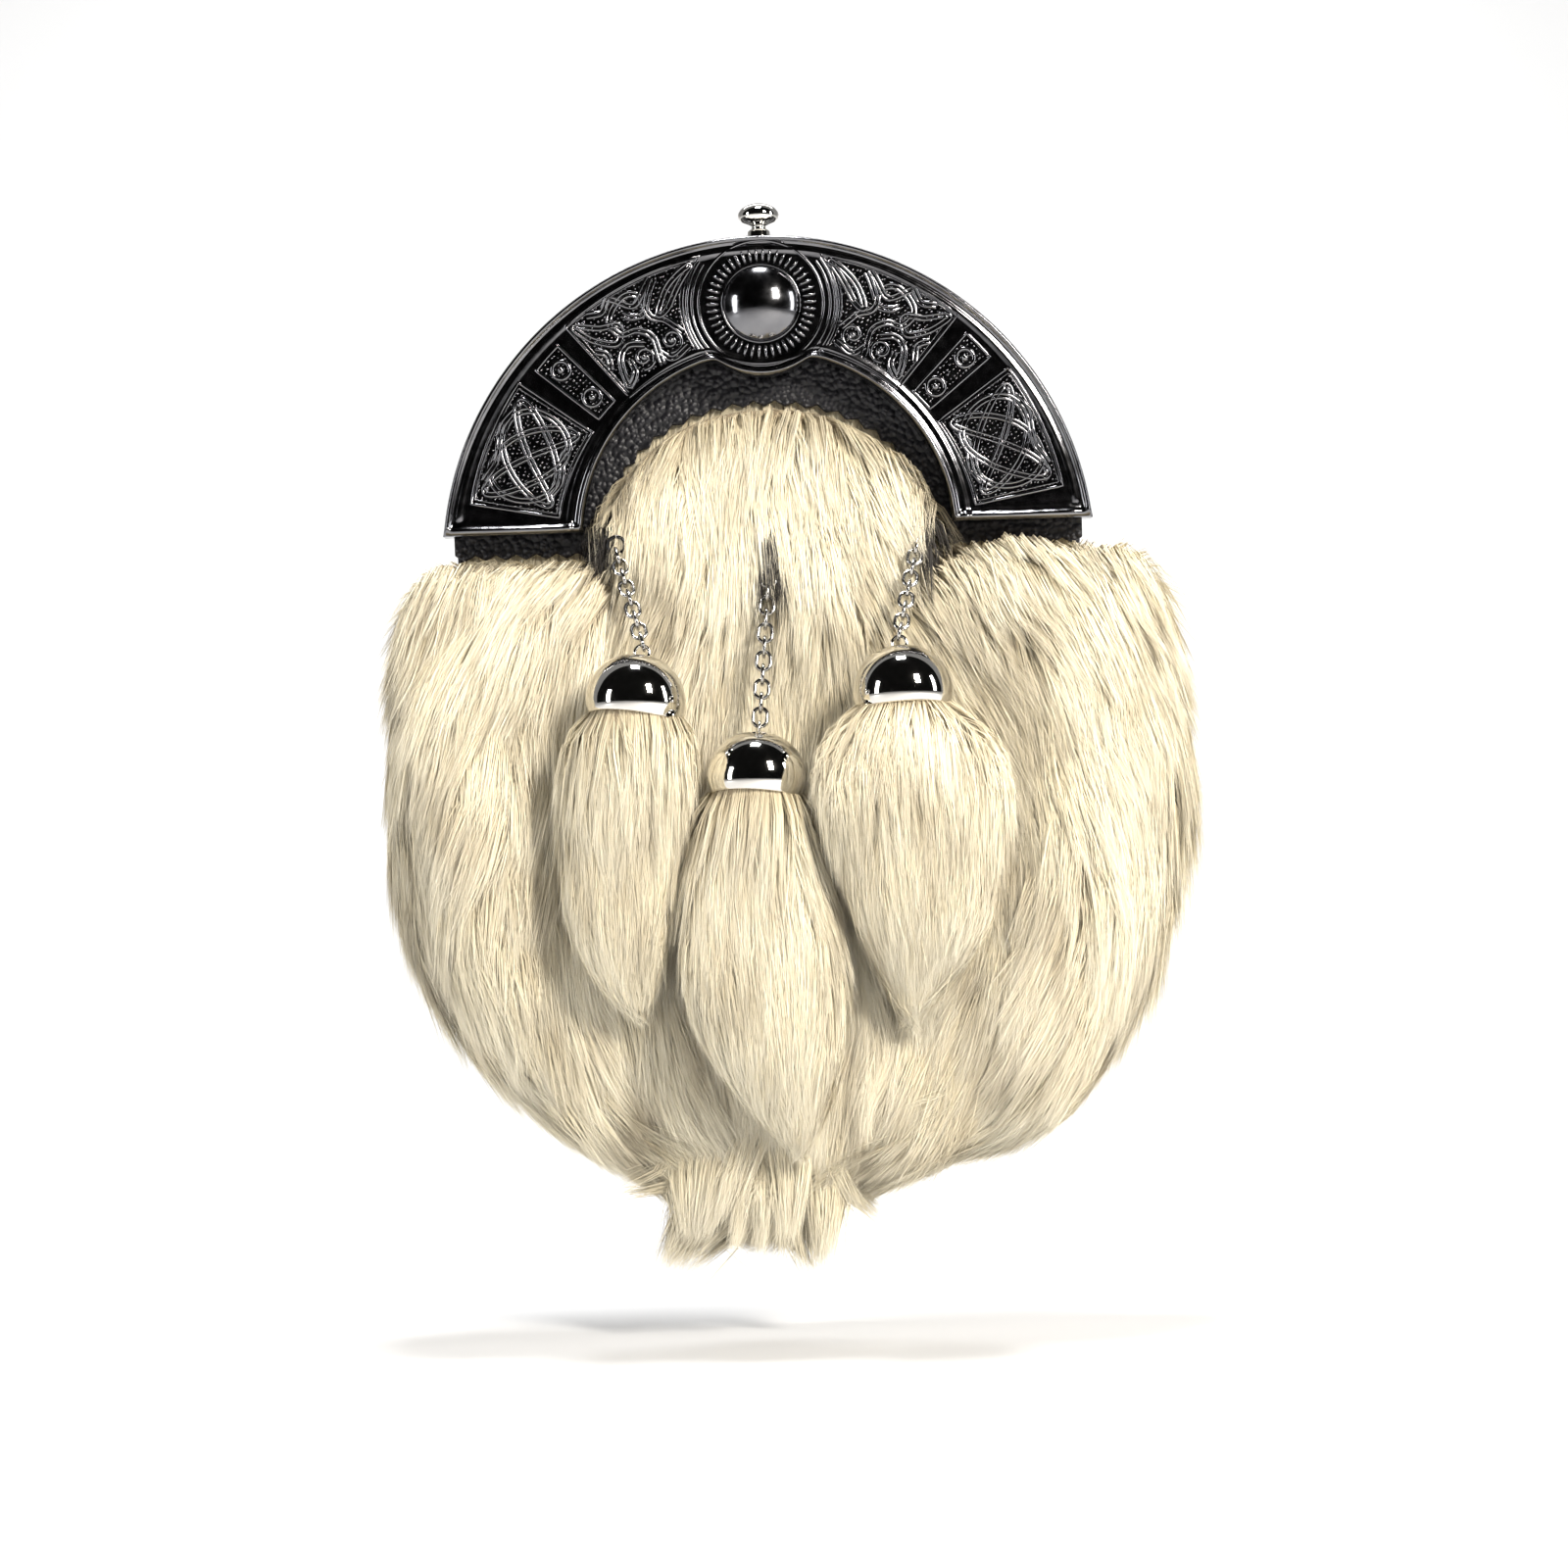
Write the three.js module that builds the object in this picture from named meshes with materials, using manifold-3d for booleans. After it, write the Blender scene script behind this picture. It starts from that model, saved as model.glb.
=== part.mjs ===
// Full-dress sporran pouch: a fur front under a cast arched cantle, with three fur tassels on chains.
// Millimetres, +Z up, the front faces -Y and +X is the wearer's left.
// The origin lies on the rear face of the back panel, midway between the two strap loops.
// "Ahead" is a distance in front of the back panel's rear face, so y = -ahead.
// Heights in the tables are measured from the cantle's foot line, and one group lowers them all.
import * as THREE from "three";
import { mergeVertices } from "three/addons/utils/BufferGeometryUtils.js";
import Module from "manifold-3d";

const wasm = await Module();
wasm.setup();

// ---- driving dimensions ----
const STRAP_LINE = 20; // the strap's height above the cantle's foot line
const GAP = 0.4; // clearance between neighbouring pieces

const OUTER_ARC = { radius: 78, centreZ: -8.3 };
const INNER_ARC = { radius: 44.1, centreZ: -2.7 };
const MEDALLION = { z: 53.2, radius: 16.3, lobeRadius: 17.3, domeRadius: 9, domeRise: 4.2 };
const CANTLE = { back: 13.3, plateBack: 18.6, plateFront: 21, rimFront: 22.3, wall: 2.6, rim: 2.2 };
const ARC_STEPS = 16;

const PANEL_RISE = 0.5; // the decorated fields stand this far above the plate
const PANELS = [
  { name: "beast", inner: 48, outer: 73, from: 49, to: 68 },
  { name: "ring", inner: 50.5, outer: 70.4, from: 39.5, to: 45.6 },
  { name: "knot", inner: 48.5, outer: 73, from: 10, to: 36 },
];
const PANEL_CENTRE_Z = -5.5;
const RING_BOSSES = { angle: 42.6, reaches: [55.6, 65.2], radius: 2.2, rise: 1.1 };

const BUTTON = { stemRadius: 2.75, headRadius: 5, neckRadius: 2, headHeight: 5.2, stemShown: 2.7, stemInside: 9 };
const BORE = { radius: 3.1, floor: 56, housingWidth: 9.6 };
const BUTTON_AHEAD = (CANTLE.back + CANTLE.rimFront) / 2;

const LEATHER = { back: 11, front: 12.9, outerRadius: 76, footZ: -5.5 };
const ARCH_EDGE = { halfWidth: 40.3, height: 36.3, baseZ: -6, power: 2.15 };
const PINKING = { pitch: 5, depth: 1.3 };

const BACK_PANEL = { thickness: 2.5, topRadius: 76.5, lap: 1.2 };
const POUCH_SIDE = [
  { z: -13, halfWidth: 74 },
  { z: -30, halfWidth: 77 },
  { z: -60, halfWidth: 79.5 },
  { z: -90, halfWidth: 77 },
  { z: -115, halfWidth: 67 },
  { z: -134, halfWidth: 48 },
  { z: -146, halfWidth: 24 },
];
const POUCH_BOTTOM_Z = -149;
const GUSSET = { thickness: 2, front: 21.4 };

// Fur outline below the cantle: the left and right edges at each height.
const FUR_SIDES = [
  { z: -6.6, left: -75, right: 76.5 },
  { z: -10, left: -83, right: 89 },
  { z: -19, left: -88.5, right: 94.5 },
  { z: -31, left: -92, right: 97 },
  { z: -48, left: -94.5, right: 99.3 },
  { z: -66, left: -94.5, right: 99.5 },
  { z: -83, left: -93.5, right: 97 },
  { z: -101, left: -89.5, right: 93.5 },
  { z: -118, left: -81, right: 87 },
  { z: -130, left: -72, right: 80 },
  { z: -141, left: -61, right: 72 },
  { z: -148, left: -51, right: 61 },
  { z: -154, left: -37, right: 36 },
  { z: -160, left: -29, right: 14 },
  { z: -167, left: -23, right: 2 },
];
const FUR_HEART = { x: 0, z: -60 };
const FUR_EDGE_AHEAD = 17;
// How far ahead the fur stands at each height, along the middle and along the side lobes.
const FUR_CROWN = [
  { z: 30, middle: 20, lobe: 24 },
  { z: 10, middle: 25, lobe: 28 },
  { z: -10, middle: 27, lobe: 36 },
  { z: -35, middle: 29.5, lobe: 46 },
  { z: -60, middle: 32, lobe: 51 },
  { z: -90, middle: 34, lobe: 53 },
  { z: -120, middle: 36, lobe: 50 },
  { z: -145, middle: 38, lobe: 42 },
  { z: -175, middle: 30, lobe: 32 },
];
const LOBES = { from: 26, to: 66 };
const CREASES = [
  { x1: -53, z1: -42, x2: -51, z2: -112, depth: 9, width: 8 },
  { x1: 52, z1: -28, x2: 56, z2: -76, depth: 7, width: 7 },
  { x1: 55, z1: -90, x2: 35, z2: -120, depth: 6, width: 7 },
];
// How far out the rows of the fur front stand, from its heart to its edge, and its brim after them.
const FUR_BRIM_SHARE = 0.985;
const FUR_RINGS = [0.14, 0.28, 0.41, 0.53, 0.64, 0.74, 0.83, 0.9, 0.96];
const FUR_STEP = 9; // the spacing of points along the fur's outline
const FUR_BACK = { body: 5, arch: LEATHER.back, brim: 5 };
const HOLLOW = { side: 22, middle: 24, clearance: 1.4 };

const LINK = { wire: 0.75, width: 4.2, gap: 0.35, pitch: 3.45 };
const STAPLE = { radius: 2, wire: 0.9, standoff: 2.2 };
const CAP_PROFILE = [
  { radius: 0, z: 15.3 },
  { radius: 4, z: 14.7 },
  { radius: 8, z: 12 },
  { radius: 10.6, z: 7.8 },
  { radius: 11.5, z: 3 },
  { radius: 11.8, z: 0 },
  { radius: 10.9, z: 0 },
  { radius: 10.4, z: 3 },
  { radius: 9.4, z: 7.4 },
  { radius: 6.8, z: 11.2 },
  { radius: 0, z: 13.4 },
];
const CAP = { eyeRadius: 1.7, eyeWire: 0.8, eyeZ: 16.3, lean: 12 };
const TASSEL_NECK = { radius: 9, inside: 6 };
const TASSEL_FLATNESS = 0.6; // thickness over width

// Each tassel: where its chain starts, its cap's mouth and roll, and its sections further down.
const TASSELS = [
  {
    name: "left", chain: { x: -36.1, z: -3.5 }, mouth: { x: -32.6, z: -45.6 }, roll: 9,
    sections: [
      { x: -33.6, z: -53, width: 26 },
      { x: -34.5, z: -62, width: 28 },
      { x: -36, z: -75, width: 28 },
      { x: -37.6, z: -88, width: 25.5 },
      { x: -37.4, z: -100, width: 20 },
      { x: -35, z: -109, width: 12 },
      { x: -33, z: -114, width: 4 },
    ],
  },
  {
    name: "middle", chain: { x: 0.2, z: -6.2 }, mouth: { x: -4.8, z: -64.4 }, roll: 5,
    sections: [
      { x: -5.3, z: -71, width: 27 },
      { x: -5.3, z: -80, width: 31.5 },
      { x: -4.8, z: -92, width: 36.5 },
      { x: -4.4, z: -104, width: 39 },
      { x: -3, z: -116, width: 37.5 },
      { x: -1.2, z: -126, width: 30 },
      { x: 1, z: -135, width: 20 },
      { x: 2.4, z: -144, width: 9 },
      { x: 3, z: -148, width: 4 },
    ],
  },
  {
    name: "right", chain: { x: 35.3, z: -3.3 }, mouth: { x: 30.3, z: -45.4 }, roll: -2,
    sections: [
      { x: 30.8, z: -51.5, width: 33 },
      { x: 31, z: -59, width: 42 },
      { x: 31.6, z: -68, width: 43 },
      { x: 32.6, z: -78, width: 39.5 },
      { x: 33.4, z: -88, width: 36 },
      { x: 33.4, z: -97, width: 30 },
      { x: 32, z: -106, width: 19.5 },
      { x: 30.4, z: -113.5, width: 9 },
      { x: 29.6, z: -117.5, width: 4 },
    ],
  },
];
const ROUND = { tassel: 14, cap: 16, button: 14, wire: 5, link: 10, dome: 16 };

const LOOP = { x: 38, width: 20, foot: 6, opening: 28, depth: 6.4, thickness: 2.4, corner: 3, innerEase: 1 };

// Points along the curves: the pouch side, the hollow behind the fur, and the leather's arch.
const STEPS = { side: 44, hollow: 60, arch: 40 };

const FINISH = {
  fur: { color: 0xe8dcc0, roughness: 0.95, metalness: 0 },
  blackLeather: { color: 0x15141a, roughness: 0.6, metalness: 0 },
  blackNickel: { color: 0x33343a, roughness: 0.22, metalness: 1 },
  brightNickel: { color: 0xb9b6ae, roughness: 0.12, metalness: 1 },
};

// ---- helpers ----
const radians = THREE.MathUtils.degToRad;
const model = new THREE.Group();
model.position.z = -STRAP_LINE;

function addPiece(name, geometry, finish) {
  const mesh = new THREE.Mesh(geometry, new THREE.MeshStandardMaterial(finish));
  mesh.name = name;
  model.add(mesh);
  return mesh;
}

// Merges a geometry's shared corners, so that it is one closed mesh.
function welded(geometry) {
  const bare = geometry.clone();
  bare.deleteAttribute("normal");
  bare.deleteAttribute("uv");
  return mergeVertices(bare, 1e-4);
}

function toSolid(geometry) {
  const closed = welded(geometry);
  return new wasm.Manifold(new wasm.Mesh({
    numProp: 3,
    vertProperties: new Float32Array(closed.attributes.position.array),
    triVerts: new Uint32Array(closed.index.array),
  }));
}

function toGeometry(solid) {
  const mesh = solid.getMesh();
  const geometry = new THREE.BufferGeometry();
  geometry.setAttribute("position", new THREE.BufferAttribute(mesh.vertProperties, 3));
  geometry.setIndex(new THREE.BufferAttribute(mesh.triVerts, 1));
  geometry.computeVertexNormals();
  return geometry;
}

function joined(geometries) {
  return geometries.map(toSolid).reduce((whole, part) => whole.add(part));
}

// Extrudes an outline drawn in x and z, from one distance ahead to another.
function standing(shape, back, front, curveSegments = ARC_STEPS) {
  const geometry = new THREE.ExtrudeGeometry(shape, {
    depth: front - back, bevelEnabled: false, curveSegments,
  });
  geometry.rotateX(Math.PI / 2);
  geometry.translate(0, -back, 0);
  return geometry;
}

// Skins a stack of equal closed rings and closes its two ends with a fan.
function lofted(rings, start, end) {
  const count = rings[0].length;
  const points = [start, ...rings.flat(), end];
  const faces = [];
  const at = (ring, step) => 1 + ring * count + (step % count);
  const last = points.length - 1;
  for (let step = 0; step < count; step += 1) {
    faces.push(0, at(0, step), at(0, step + 1));
    for (let ring = 0; ring < rings.length - 1; ring += 1) {
      faces.push(at(ring, step), at(ring + 1, step), at(ring + 1, step + 1));
      faces.push(at(ring, step), at(ring + 1, step + 1), at(ring, step + 1));
    }
    faces.push(last, at(rings.length - 1, step + 1), at(rings.length - 1, step));
  }
  const geometry = new THREE.BufferGeometry();
  geometry.setFromPoints(points);
  geometry.setIndex(faces);
  geometry.computeVertexNormals();
  return geometry;
}

// The value of one column of a table at a height, between its rows.
function readTable(table, column, z) {
  const above = table.findLastIndex((row) => row.z >= z);
  if (above < 0) {
    return table[0][column];
  }
  if (above === table.length - 1) {
    return table[above][column];
  }
  const share = (table[above].z - z) / (table[above].z - table[above + 1].z);
  return THREE.MathUtils.lerp(table[above][column], table[above + 1][column], share);
}

// ---- the fur front's outer form ----
function archEdgePoint(turn, inset = 0) {
  const power = 2 / ARCH_EDGE.power;
  const across = Math.sign(Math.cos(turn)) * Math.abs(Math.cos(turn)) ** power;
  const up = Math.abs(Math.sin(turn)) ** power;
  return new THREE.Vector2(
    (ARCH_EDGE.halfWidth - inset) * across,
    ARCH_EDGE.baseZ + (ARCH_EDGE.height - inset) * up,
  );
}

// The fur's outline, anticlockwise as the front is seen.
function furOutline() {
  const inset = PINKING.depth / 2 + GAP;
  const arch = [];
  const archSteps = 14;
  for (let step = 0; step <= archSteps; step += 1) {
    arch.push(archEdgePoint(Math.PI * (1 - step / archSteps), inset));
  }
  const right = FUR_SIDES.map((row) => new THREE.Vector2(row.right, row.z));
  const left = FUR_SIDES.map((row) => new THREE.Vector2(row.left, row.z)).reverse();
  const foot = FUR_SIDES[0].z;
  arch[0].y = foot;
  arch[archSteps].y = foot;
  const corners = [...arch, ...right, ...left];
  const outline = [];
  corners.forEach((corner, index) => {
    const next = corners[(index + 1) % corners.length];
    const steps = Math.max(1, Math.round(corner.distanceTo(next) / FUR_STEP));
    for (let step = 0; step < steps; step += 1) {
      outline.push(corner.clone().lerp(next, step / steps));
    }
  });
  return outline.reverse();
}

const FUR_OUTLINE = furOutline();
const HEART = new THREE.Vector2(FUR_HEART.x, FUR_HEART.z);

// How far a closed outline reaches from the heart of the fur towards a point.
function reachTowards(outline, x, z) {
  const heading = new THREE.Vector2(x, z).sub(HEART);
  if (heading.length() < 1e-6) {
    return Infinity;
  }
  heading.normalize();
  let reach = 0;
  outline.forEach((from, index) => {
    const to = outline[(index + 1) % outline.length];
    const side = to.clone().sub(from);
    const across = heading.cross(side);
    if (Math.abs(across) < 1e-9) {
      return;
    }
    const start = from.clone().sub(HEART);
    const distance = start.cross(side) / across;
    const along = start.cross(heading) / across;
    if (along >= -1e-6 && along <= 1 + 1e-6 && distance > reach) {
      reach = distance;
    }
  });
  return reach;
}

function creaseDepth(x, z) {
  let depth = 0;
  for (const crease of CREASES) {
    const line = new THREE.Line3(
      new THREE.Vector3(crease.x1, 0, crease.z1), new THREE.Vector3(crease.x2, 0, crease.z2),
    );
    const point = new THREE.Vector3(x, 0, z);
    const nearest = line.closestPointToPoint(point, true, new THREE.Vector3());
    depth += crease.depth * Math.exp(-((point.distanceTo(nearest) / crease.width) ** 2));
  }
  return depth;
}

// How far ahead the fur's face stands at a place on the front.
function furAhead(x, z) {
  const reach = reachTowards(FUR_OUTLINE, x, z);
  const share = Math.min(1, new THREE.Vector2(x, z).distanceTo(HEART) / reach);
  const lobe = THREE.MathUtils.smoothstep(Math.abs(x), LOBES.from, LOBES.to);
  const middle = readTable(FUR_CROWN, "middle", z);
  const side = readTable(FUR_CROWN, "lobe", z);
  const crown = THREE.MathUtils.lerp(middle, side, lobe) - creaseDepth(x, z);
  return FUR_EDGE_AHEAD + (crown - FUR_EDGE_AHEAD) * Math.sqrt(1 - share ** 4);
}

// ---- the leather pouch ----
function pouchSideCurve(lap) {
  const right = POUCH_SIDE.map((row) => new THREE.Vector2(row.halfWidth + lap, row.z));
  const left = POUCH_SIDE.map((row) => new THREE.Vector2(-row.halfWidth - lap, row.z)).reverse();
  const bottom = new THREE.Vector2(0, POUCH_BOTTOM_Z - lap);
  return new THREE.SplineCurve([...right, bottom, ...left]);
}

function footAngle(arc) {
  return Math.asin(-arc.centreZ / arc.radius);
}

function addBackPanel() {
  const shape = new THREE.Shape();
  const top = { radius: BACK_PANEL.topRadius, centreZ: OUTER_ARC.centreZ };
  shape.absarc(0, top.centreZ, top.radius, footAngle(top), Math.PI - footAngle(top), false);
  const side = pouchSideCurve(BACK_PANEL.lap).getPoints(STEPS.side).reverse();
  side.forEach((point) => shape.lineTo(point.x, point.y));
  addPiece("back_panel", standing(shape, 0, BACK_PANEL.thickness), FINISH.blackLeather);
}

function addGusset() {
  const outer = pouchSideCurve(0).getPoints(STEPS.side);
  const inner = pouchSideCurve(-GUSSET.thickness).getPoints(STEPS.side).reverse();
  const shape = new THREE.Shape([...outer, ...inner]);
  const back = BACK_PANEL.thickness + GAP;
  addPiece("gusset", standing(shape, back, GUSSET.front), FINISH.blackLeather);
}

function addFurFront() {
  const pouch = pouchSideCurve(HOLLOW.clearance).getPoints(STEPS.hollow);
  pouch.push(new THREE.Vector2(-POUCH_SIDE[0].halfWidth, 0));
  pouch.push(new THREE.Vector2(POUCH_SIDE[0].halfWidth, 0));
  const rings = FUR_RINGS.map((share) => FUR_OUTLINE.map((edge) => {
    const point = HEART.clone().lerp(edge, share);
    return new THREE.Vector3(point.x, -furAhead(point.x, point.y), point.y);
  }));
  const underCantle = (edge) => edge.y > FUR_SIDES[0].z - GAP;
  const inArch = (edge) => edge.y > FUR_SIDES[0].z + GAP;
  const backOf = (edge) => (underCantle(edge) ? FUR_BACK.arch : FUR_BACK.body);
  const hollowEdge = (edge) => {
    const reach = edge.distanceTo(HEART);
    const inside = Math.min(reachTowards(pouch, edge.x, edge.y), reach - FUR_BACK.brim);
    return HEART.clone().lerp(edge, inside / reach);
  };
  const ring = (place, ahead) => FUR_OUTLINE.map((edge) => {
    const point = place(edge);
    return new THREE.Vector3(point.x, -ahead(edge), point.y);
  });
  const brimPoint = (edge) => HEART.clone().lerp(edge, FUR_BRIM_SHARE);
  rings.push(ring((edge) => edge, () => FUR_EDGE_AHEAD - 1));
  rings.push(ring(brimPoint, (edge) => (backOf(edge) + FUR_EDGE_AHEAD) / 2 - 1));
  rings.push(ring(hollowEdge, backOf));
  rings.push(ring(hollowEdge, (edge) => (inArch(edge) ? FUR_BACK.arch + 1 : HOLLOW.side)));
  rings.push(ring((edge) => HEART.clone().lerp(hollowEdge(edge), 0.5), () => HOLLOW.middle));
  const front = new THREE.Vector3(HEART.x, -furAhead(HEART.x, HEART.y + 1e-3), HEART.y);
  const back = new THREE.Vector3(HEART.x, -HOLLOW.middle, HEART.y);
  addPiece("fur_front", lofted(rings, front, back), FINISH.fur);
}

// ---- the pinked leather under the cantle ----
// Lays teeth of the pinking shears along a line of points, which lie half a tooth apart.
function pinked(points) {
  return points.map((point, index) => {
    const before = points[Math.max(0, index - 1)];
    const after = points[Math.min(points.length - 1, index + 1)];
    const along = after.clone().sub(before).normalize();
    const out = (index % 2 === 0 ? -1 : 1) * PINKING.depth / 2;
    return new THREE.Vector2(point.x + along.y * out, point.y - along.x * out);
  });
}

function addFrontLeather() {
  const shape = new THREE.Shape();
  const top = { radius: LEATHER.outerRadius, centreZ: OUTER_ARC.centreZ };
  const foot = LEATHER.footZ + PINKING.depth / 2;
  const legOuter = top.radius - 0.5;
  shape.absarc(0, top.centreZ, top.radius, footAngle(top), Math.PI - footAngle(top), false);
  const legSteps = 2 * Math.round((legOuter - ARCH_EDGE.halfWidth) / PINKING.pitch);
  const leg = [];
  for (let step = 0; step <= legSteps; step += 1) {
    leg.push(THREE.MathUtils.lerp(legOuter, ARCH_EDGE.halfWidth + 1, step / legSteps));
  }
  const leftLeg = leg.map((x) => new THREE.Vector2(-x, foot));
  const rightLeg = leg.map((x) => new THREE.Vector2(x, foot)).reverse();
  const archCurve = new THREE.SplineCurve(Array.from({ length: STEPS.arch + 1 }, (_, index) => (
    archEdgePoint(Math.PI * (1 - index / STEPS.arch)))));
  const archSteps = 2 * Math.round(archCurve.getLength() / PINKING.pitch);
  const arch = archCurve.getSpacedPoints(archSteps).slice(1, -1);
  [...pinked(leftLeg), ...pinked(arch), ...pinked(rightLeg)].forEach((point) => {
    shape.lineTo(point.x, point.y);
  });
  addPiece("front_leather", standing(shape, LEATHER.back, LEATHER.front), FINISH.blackLeather);
}

// ---- the cast cantle ----
// The cantle's outline, drawn in from its edges by an inset.
function cantleOutline(inset) {
  const outer = OUTER_ARC.radius - inset;
  const inner = INNER_ARC.radius + inset;
  const lobe = MEDALLION.lobeRadius - inset;
  const apart = MEDALLION.z - INNER_ARC.centreZ;
  const up = (inner ** 2 - lobe ** 2 + apart ** 2) / (2 * apart);
  const across = Math.sqrt(inner ** 2 - up ** 2);
  const innerTurn = Math.atan2(up, across);
  const lobeTurn = Math.atan2(up - apart, across);
  const outerFoot = Math.asin((inset - OUTER_ARC.centreZ) / outer);
  const innerFoot = Math.asin((inset - INNER_ARC.centreZ) / inner);
  const shape = new THREE.Shape();
  shape.absarc(0, OUTER_ARC.centreZ, outer, outerFoot, Math.PI - outerFoot, false);
  shape.absarc(0, INNER_ARC.centreZ, inner, Math.PI - innerFoot, Math.PI - innerTurn, true);
  shape.absarc(0, MEDALLION.z, lobe, Math.PI - lobeTurn, 2 * Math.PI + lobeTurn, false);
  shape.absarc(0, INNER_ARC.centreZ, inner, innerTurn, innerFoot, true);
  return shape;
}

function cantleBand(width, back, front) {
  const shape = cantleOutline(0);
  shape.holes.push(cantleOutline(width));
  return standing(shape, back, front);
}

function panelField(panel, mirrored) {
  const from = radians(mirrored ? 180 - panel.to : panel.from);
  const to = radians(mirrored ? 180 - panel.from : panel.to);
  const shape = new THREE.Shape();
  shape.absarc(0, PANEL_CENTRE_Z, panel.outer, from, to, false);
  shape.absarc(0, PANEL_CENTRE_Z, panel.inner, to, from, true);
  return standing(shape, CANTLE.plateBack, CANTLE.plateFront + PANEL_RISE, 6);
}

// A turned form, standing out ahead from the plate at a place on the cantle.
function turnedBoss(profile, x, z, steps) {
  const points = profile.map(([radius, ahead]) => new THREE.Vector2(radius, ahead));
  const geometry = new THREE.LatheGeometry(points, steps);
  geometry.rotateX(Math.PI);
  geometry.translate(x, 0, z);
  return geometry;
}

function addCantle() {
  const inPlate = (CANTLE.plateBack + CANTLE.plateFront) / 2;
  const disc = CANTLE.plateFront + 1.5;
  const dome = MEDALLION.domeRadius;
  const parts = [
    cantleBand(CANTLE.wall, CANTLE.back, CANTLE.plateFront),
    cantleBand(CANTLE.rim, CANTLE.plateBack, CANTLE.rimFront),
    standing(cantleOutline(CANTLE.rim / 2), CANTLE.plateBack, CANTLE.plateFront),
    turnedBoss([
      [0, inPlate], [MEDALLION.radius, inPlate], [MEDALLION.radius, disc], [dome + 1, disc],
      [dome, disc + 1], [dome * 0.85, disc + MEDALLION.domeRise * 0.5],
      [dome * 0.5, disc + MEDALLION.domeRise * 0.9], [0, disc + MEDALLION.domeRise],
    ], 0, MEDALLION.z, ROUND.dome),
  ];
  for (const mirrored of [false, true]) {
    PANELS.forEach((panel) => parts.push(panelField(panel, mirrored)));
    RING_BOSSES.reaches.forEach((reach) => {
      const turn = radians(mirrored ? 180 - RING_BOSSES.angle : RING_BOSSES.angle);
      const top = CANTLE.plateFront + RING_BOSSES.rise;
      parts.push(turnedBoss(
        [[0, inPlate], [RING_BOSSES.radius, inPlate], [RING_BOSSES.radius, top], [0, top]],
        reach * Math.cos(turn), PANEL_CENTRE_Z + reach * Math.sin(turn), 10,
      ));
    });
  }
  const top = OUTER_ARC.radius + OUTER_ARC.centreZ;
  const low = BORE.floor + 1;
  const high = top - 1;
  const housing = new THREE.BoxGeometry(BORE.housingWidth, inPlate - CANTLE.back, high - low);
  housing.translate(0, -(CANTLE.back + inPlate) / 2, (high + low) / 2);
  parts.push(housing);
  const bore = new THREE.CylinderGeometry(BORE.radius, BORE.radius, 2 * (top - BORE.floor), ROUND.button);
  bore.rotateX(Math.PI / 2);
  bore.translate(0, -BUTTON_AHEAD, top);
  addPiece("cantle", toGeometry(joined(parts).subtract(toSolid(bore))), FINISH.blackNickel);
}

function addPushButton() {
  const { stemRadius, headRadius, neckRadius, headHeight, stemShown, stemInside } = BUTTON;
  const profile = [
    [0, -stemInside], [stemRadius, -stemInside], [stemRadius, stemShown * 0.6],
    [neckRadius, stemShown], [headRadius * 0.7, stemShown + headHeight * 0.18],
    [headRadius, stemShown + headHeight * 0.48], [headRadius * 0.82, stemShown + headHeight * 0.8],
    [headRadius * 0.45, stemShown + headHeight * 0.96], [0, stemShown + headHeight],
  ].map(([radius, height]) => new THREE.Vector2(radius, height));
  const geometry = new THREE.LatheGeometry(profile, ROUND.button);
  geometry.rotateX(Math.PI / 2);
  const button = addPiece("push_button", welded(geometry), FINISH.brightNickel);
  button.position.set(0, -BUTTON_AHEAD, OUTER_ARC.radius + OUTER_ARC.centreZ);
}

// ---- chains and tassels ----
// A closed wire ring, long along Z, lying in the XZ plane.
function wireRing(width, height, wire, steps) {
  const round = (width - wire) / 2;
  const straight = (height - wire) / 2 - round;
  const points = Array.from({ length: steps }, (_, index) => {
    const turn = 2 * Math.PI * (index + 0.5) / steps;
    const shift = Math.sign(Math.sin(turn)) * straight;
    return new THREE.Vector3(round * Math.cos(turn), 0, round * Math.sin(turn) + shift);
  });
  const rings = points.map((point, index) => {
    const before = points[(index + steps - 1) % steps];
    const after = points[(index + 1) % steps];
    const along = after.clone().sub(before).normalize();
    const out = new THREE.Vector3(along.z, 0, -along.x);
    return Array.from({ length: ROUND.wire }, (_, side) => {
      const turn = 2 * Math.PI * side / ROUND.wire;
      return point.clone().addScaledVector(out, Math.cos(turn) * wire / 2)
        .add(new THREE.Vector3(0, Math.sin(turn) * wire / 2, 0));
    });
  });
  const faces = [];
  const at = (ring, side) => (ring % steps) * ROUND.wire + (side % ROUND.wire);
  for (let ring = 0; ring < steps; ring += 1) {
    for (let side = 0; side < ROUND.wire; side += 1) {
      faces.push(at(ring, side), at(ring + 1, side + 1), at(ring + 1, side));
      faces.push(at(ring, side), at(ring, side + 1), at(ring + 1, side + 1));
    }
  }
  const geometry = new THREE.BufferGeometry().setFromPoints(rings.flat());
  geometry.setIndex(faces);
  geometry.computeVertexNormals();
  return geometry;
}

function linkCount(from, to) {
  return Math.round((from.distanceTo(to) + LINK.wire + LINK.gap) / LINK.pitch);
}

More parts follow.
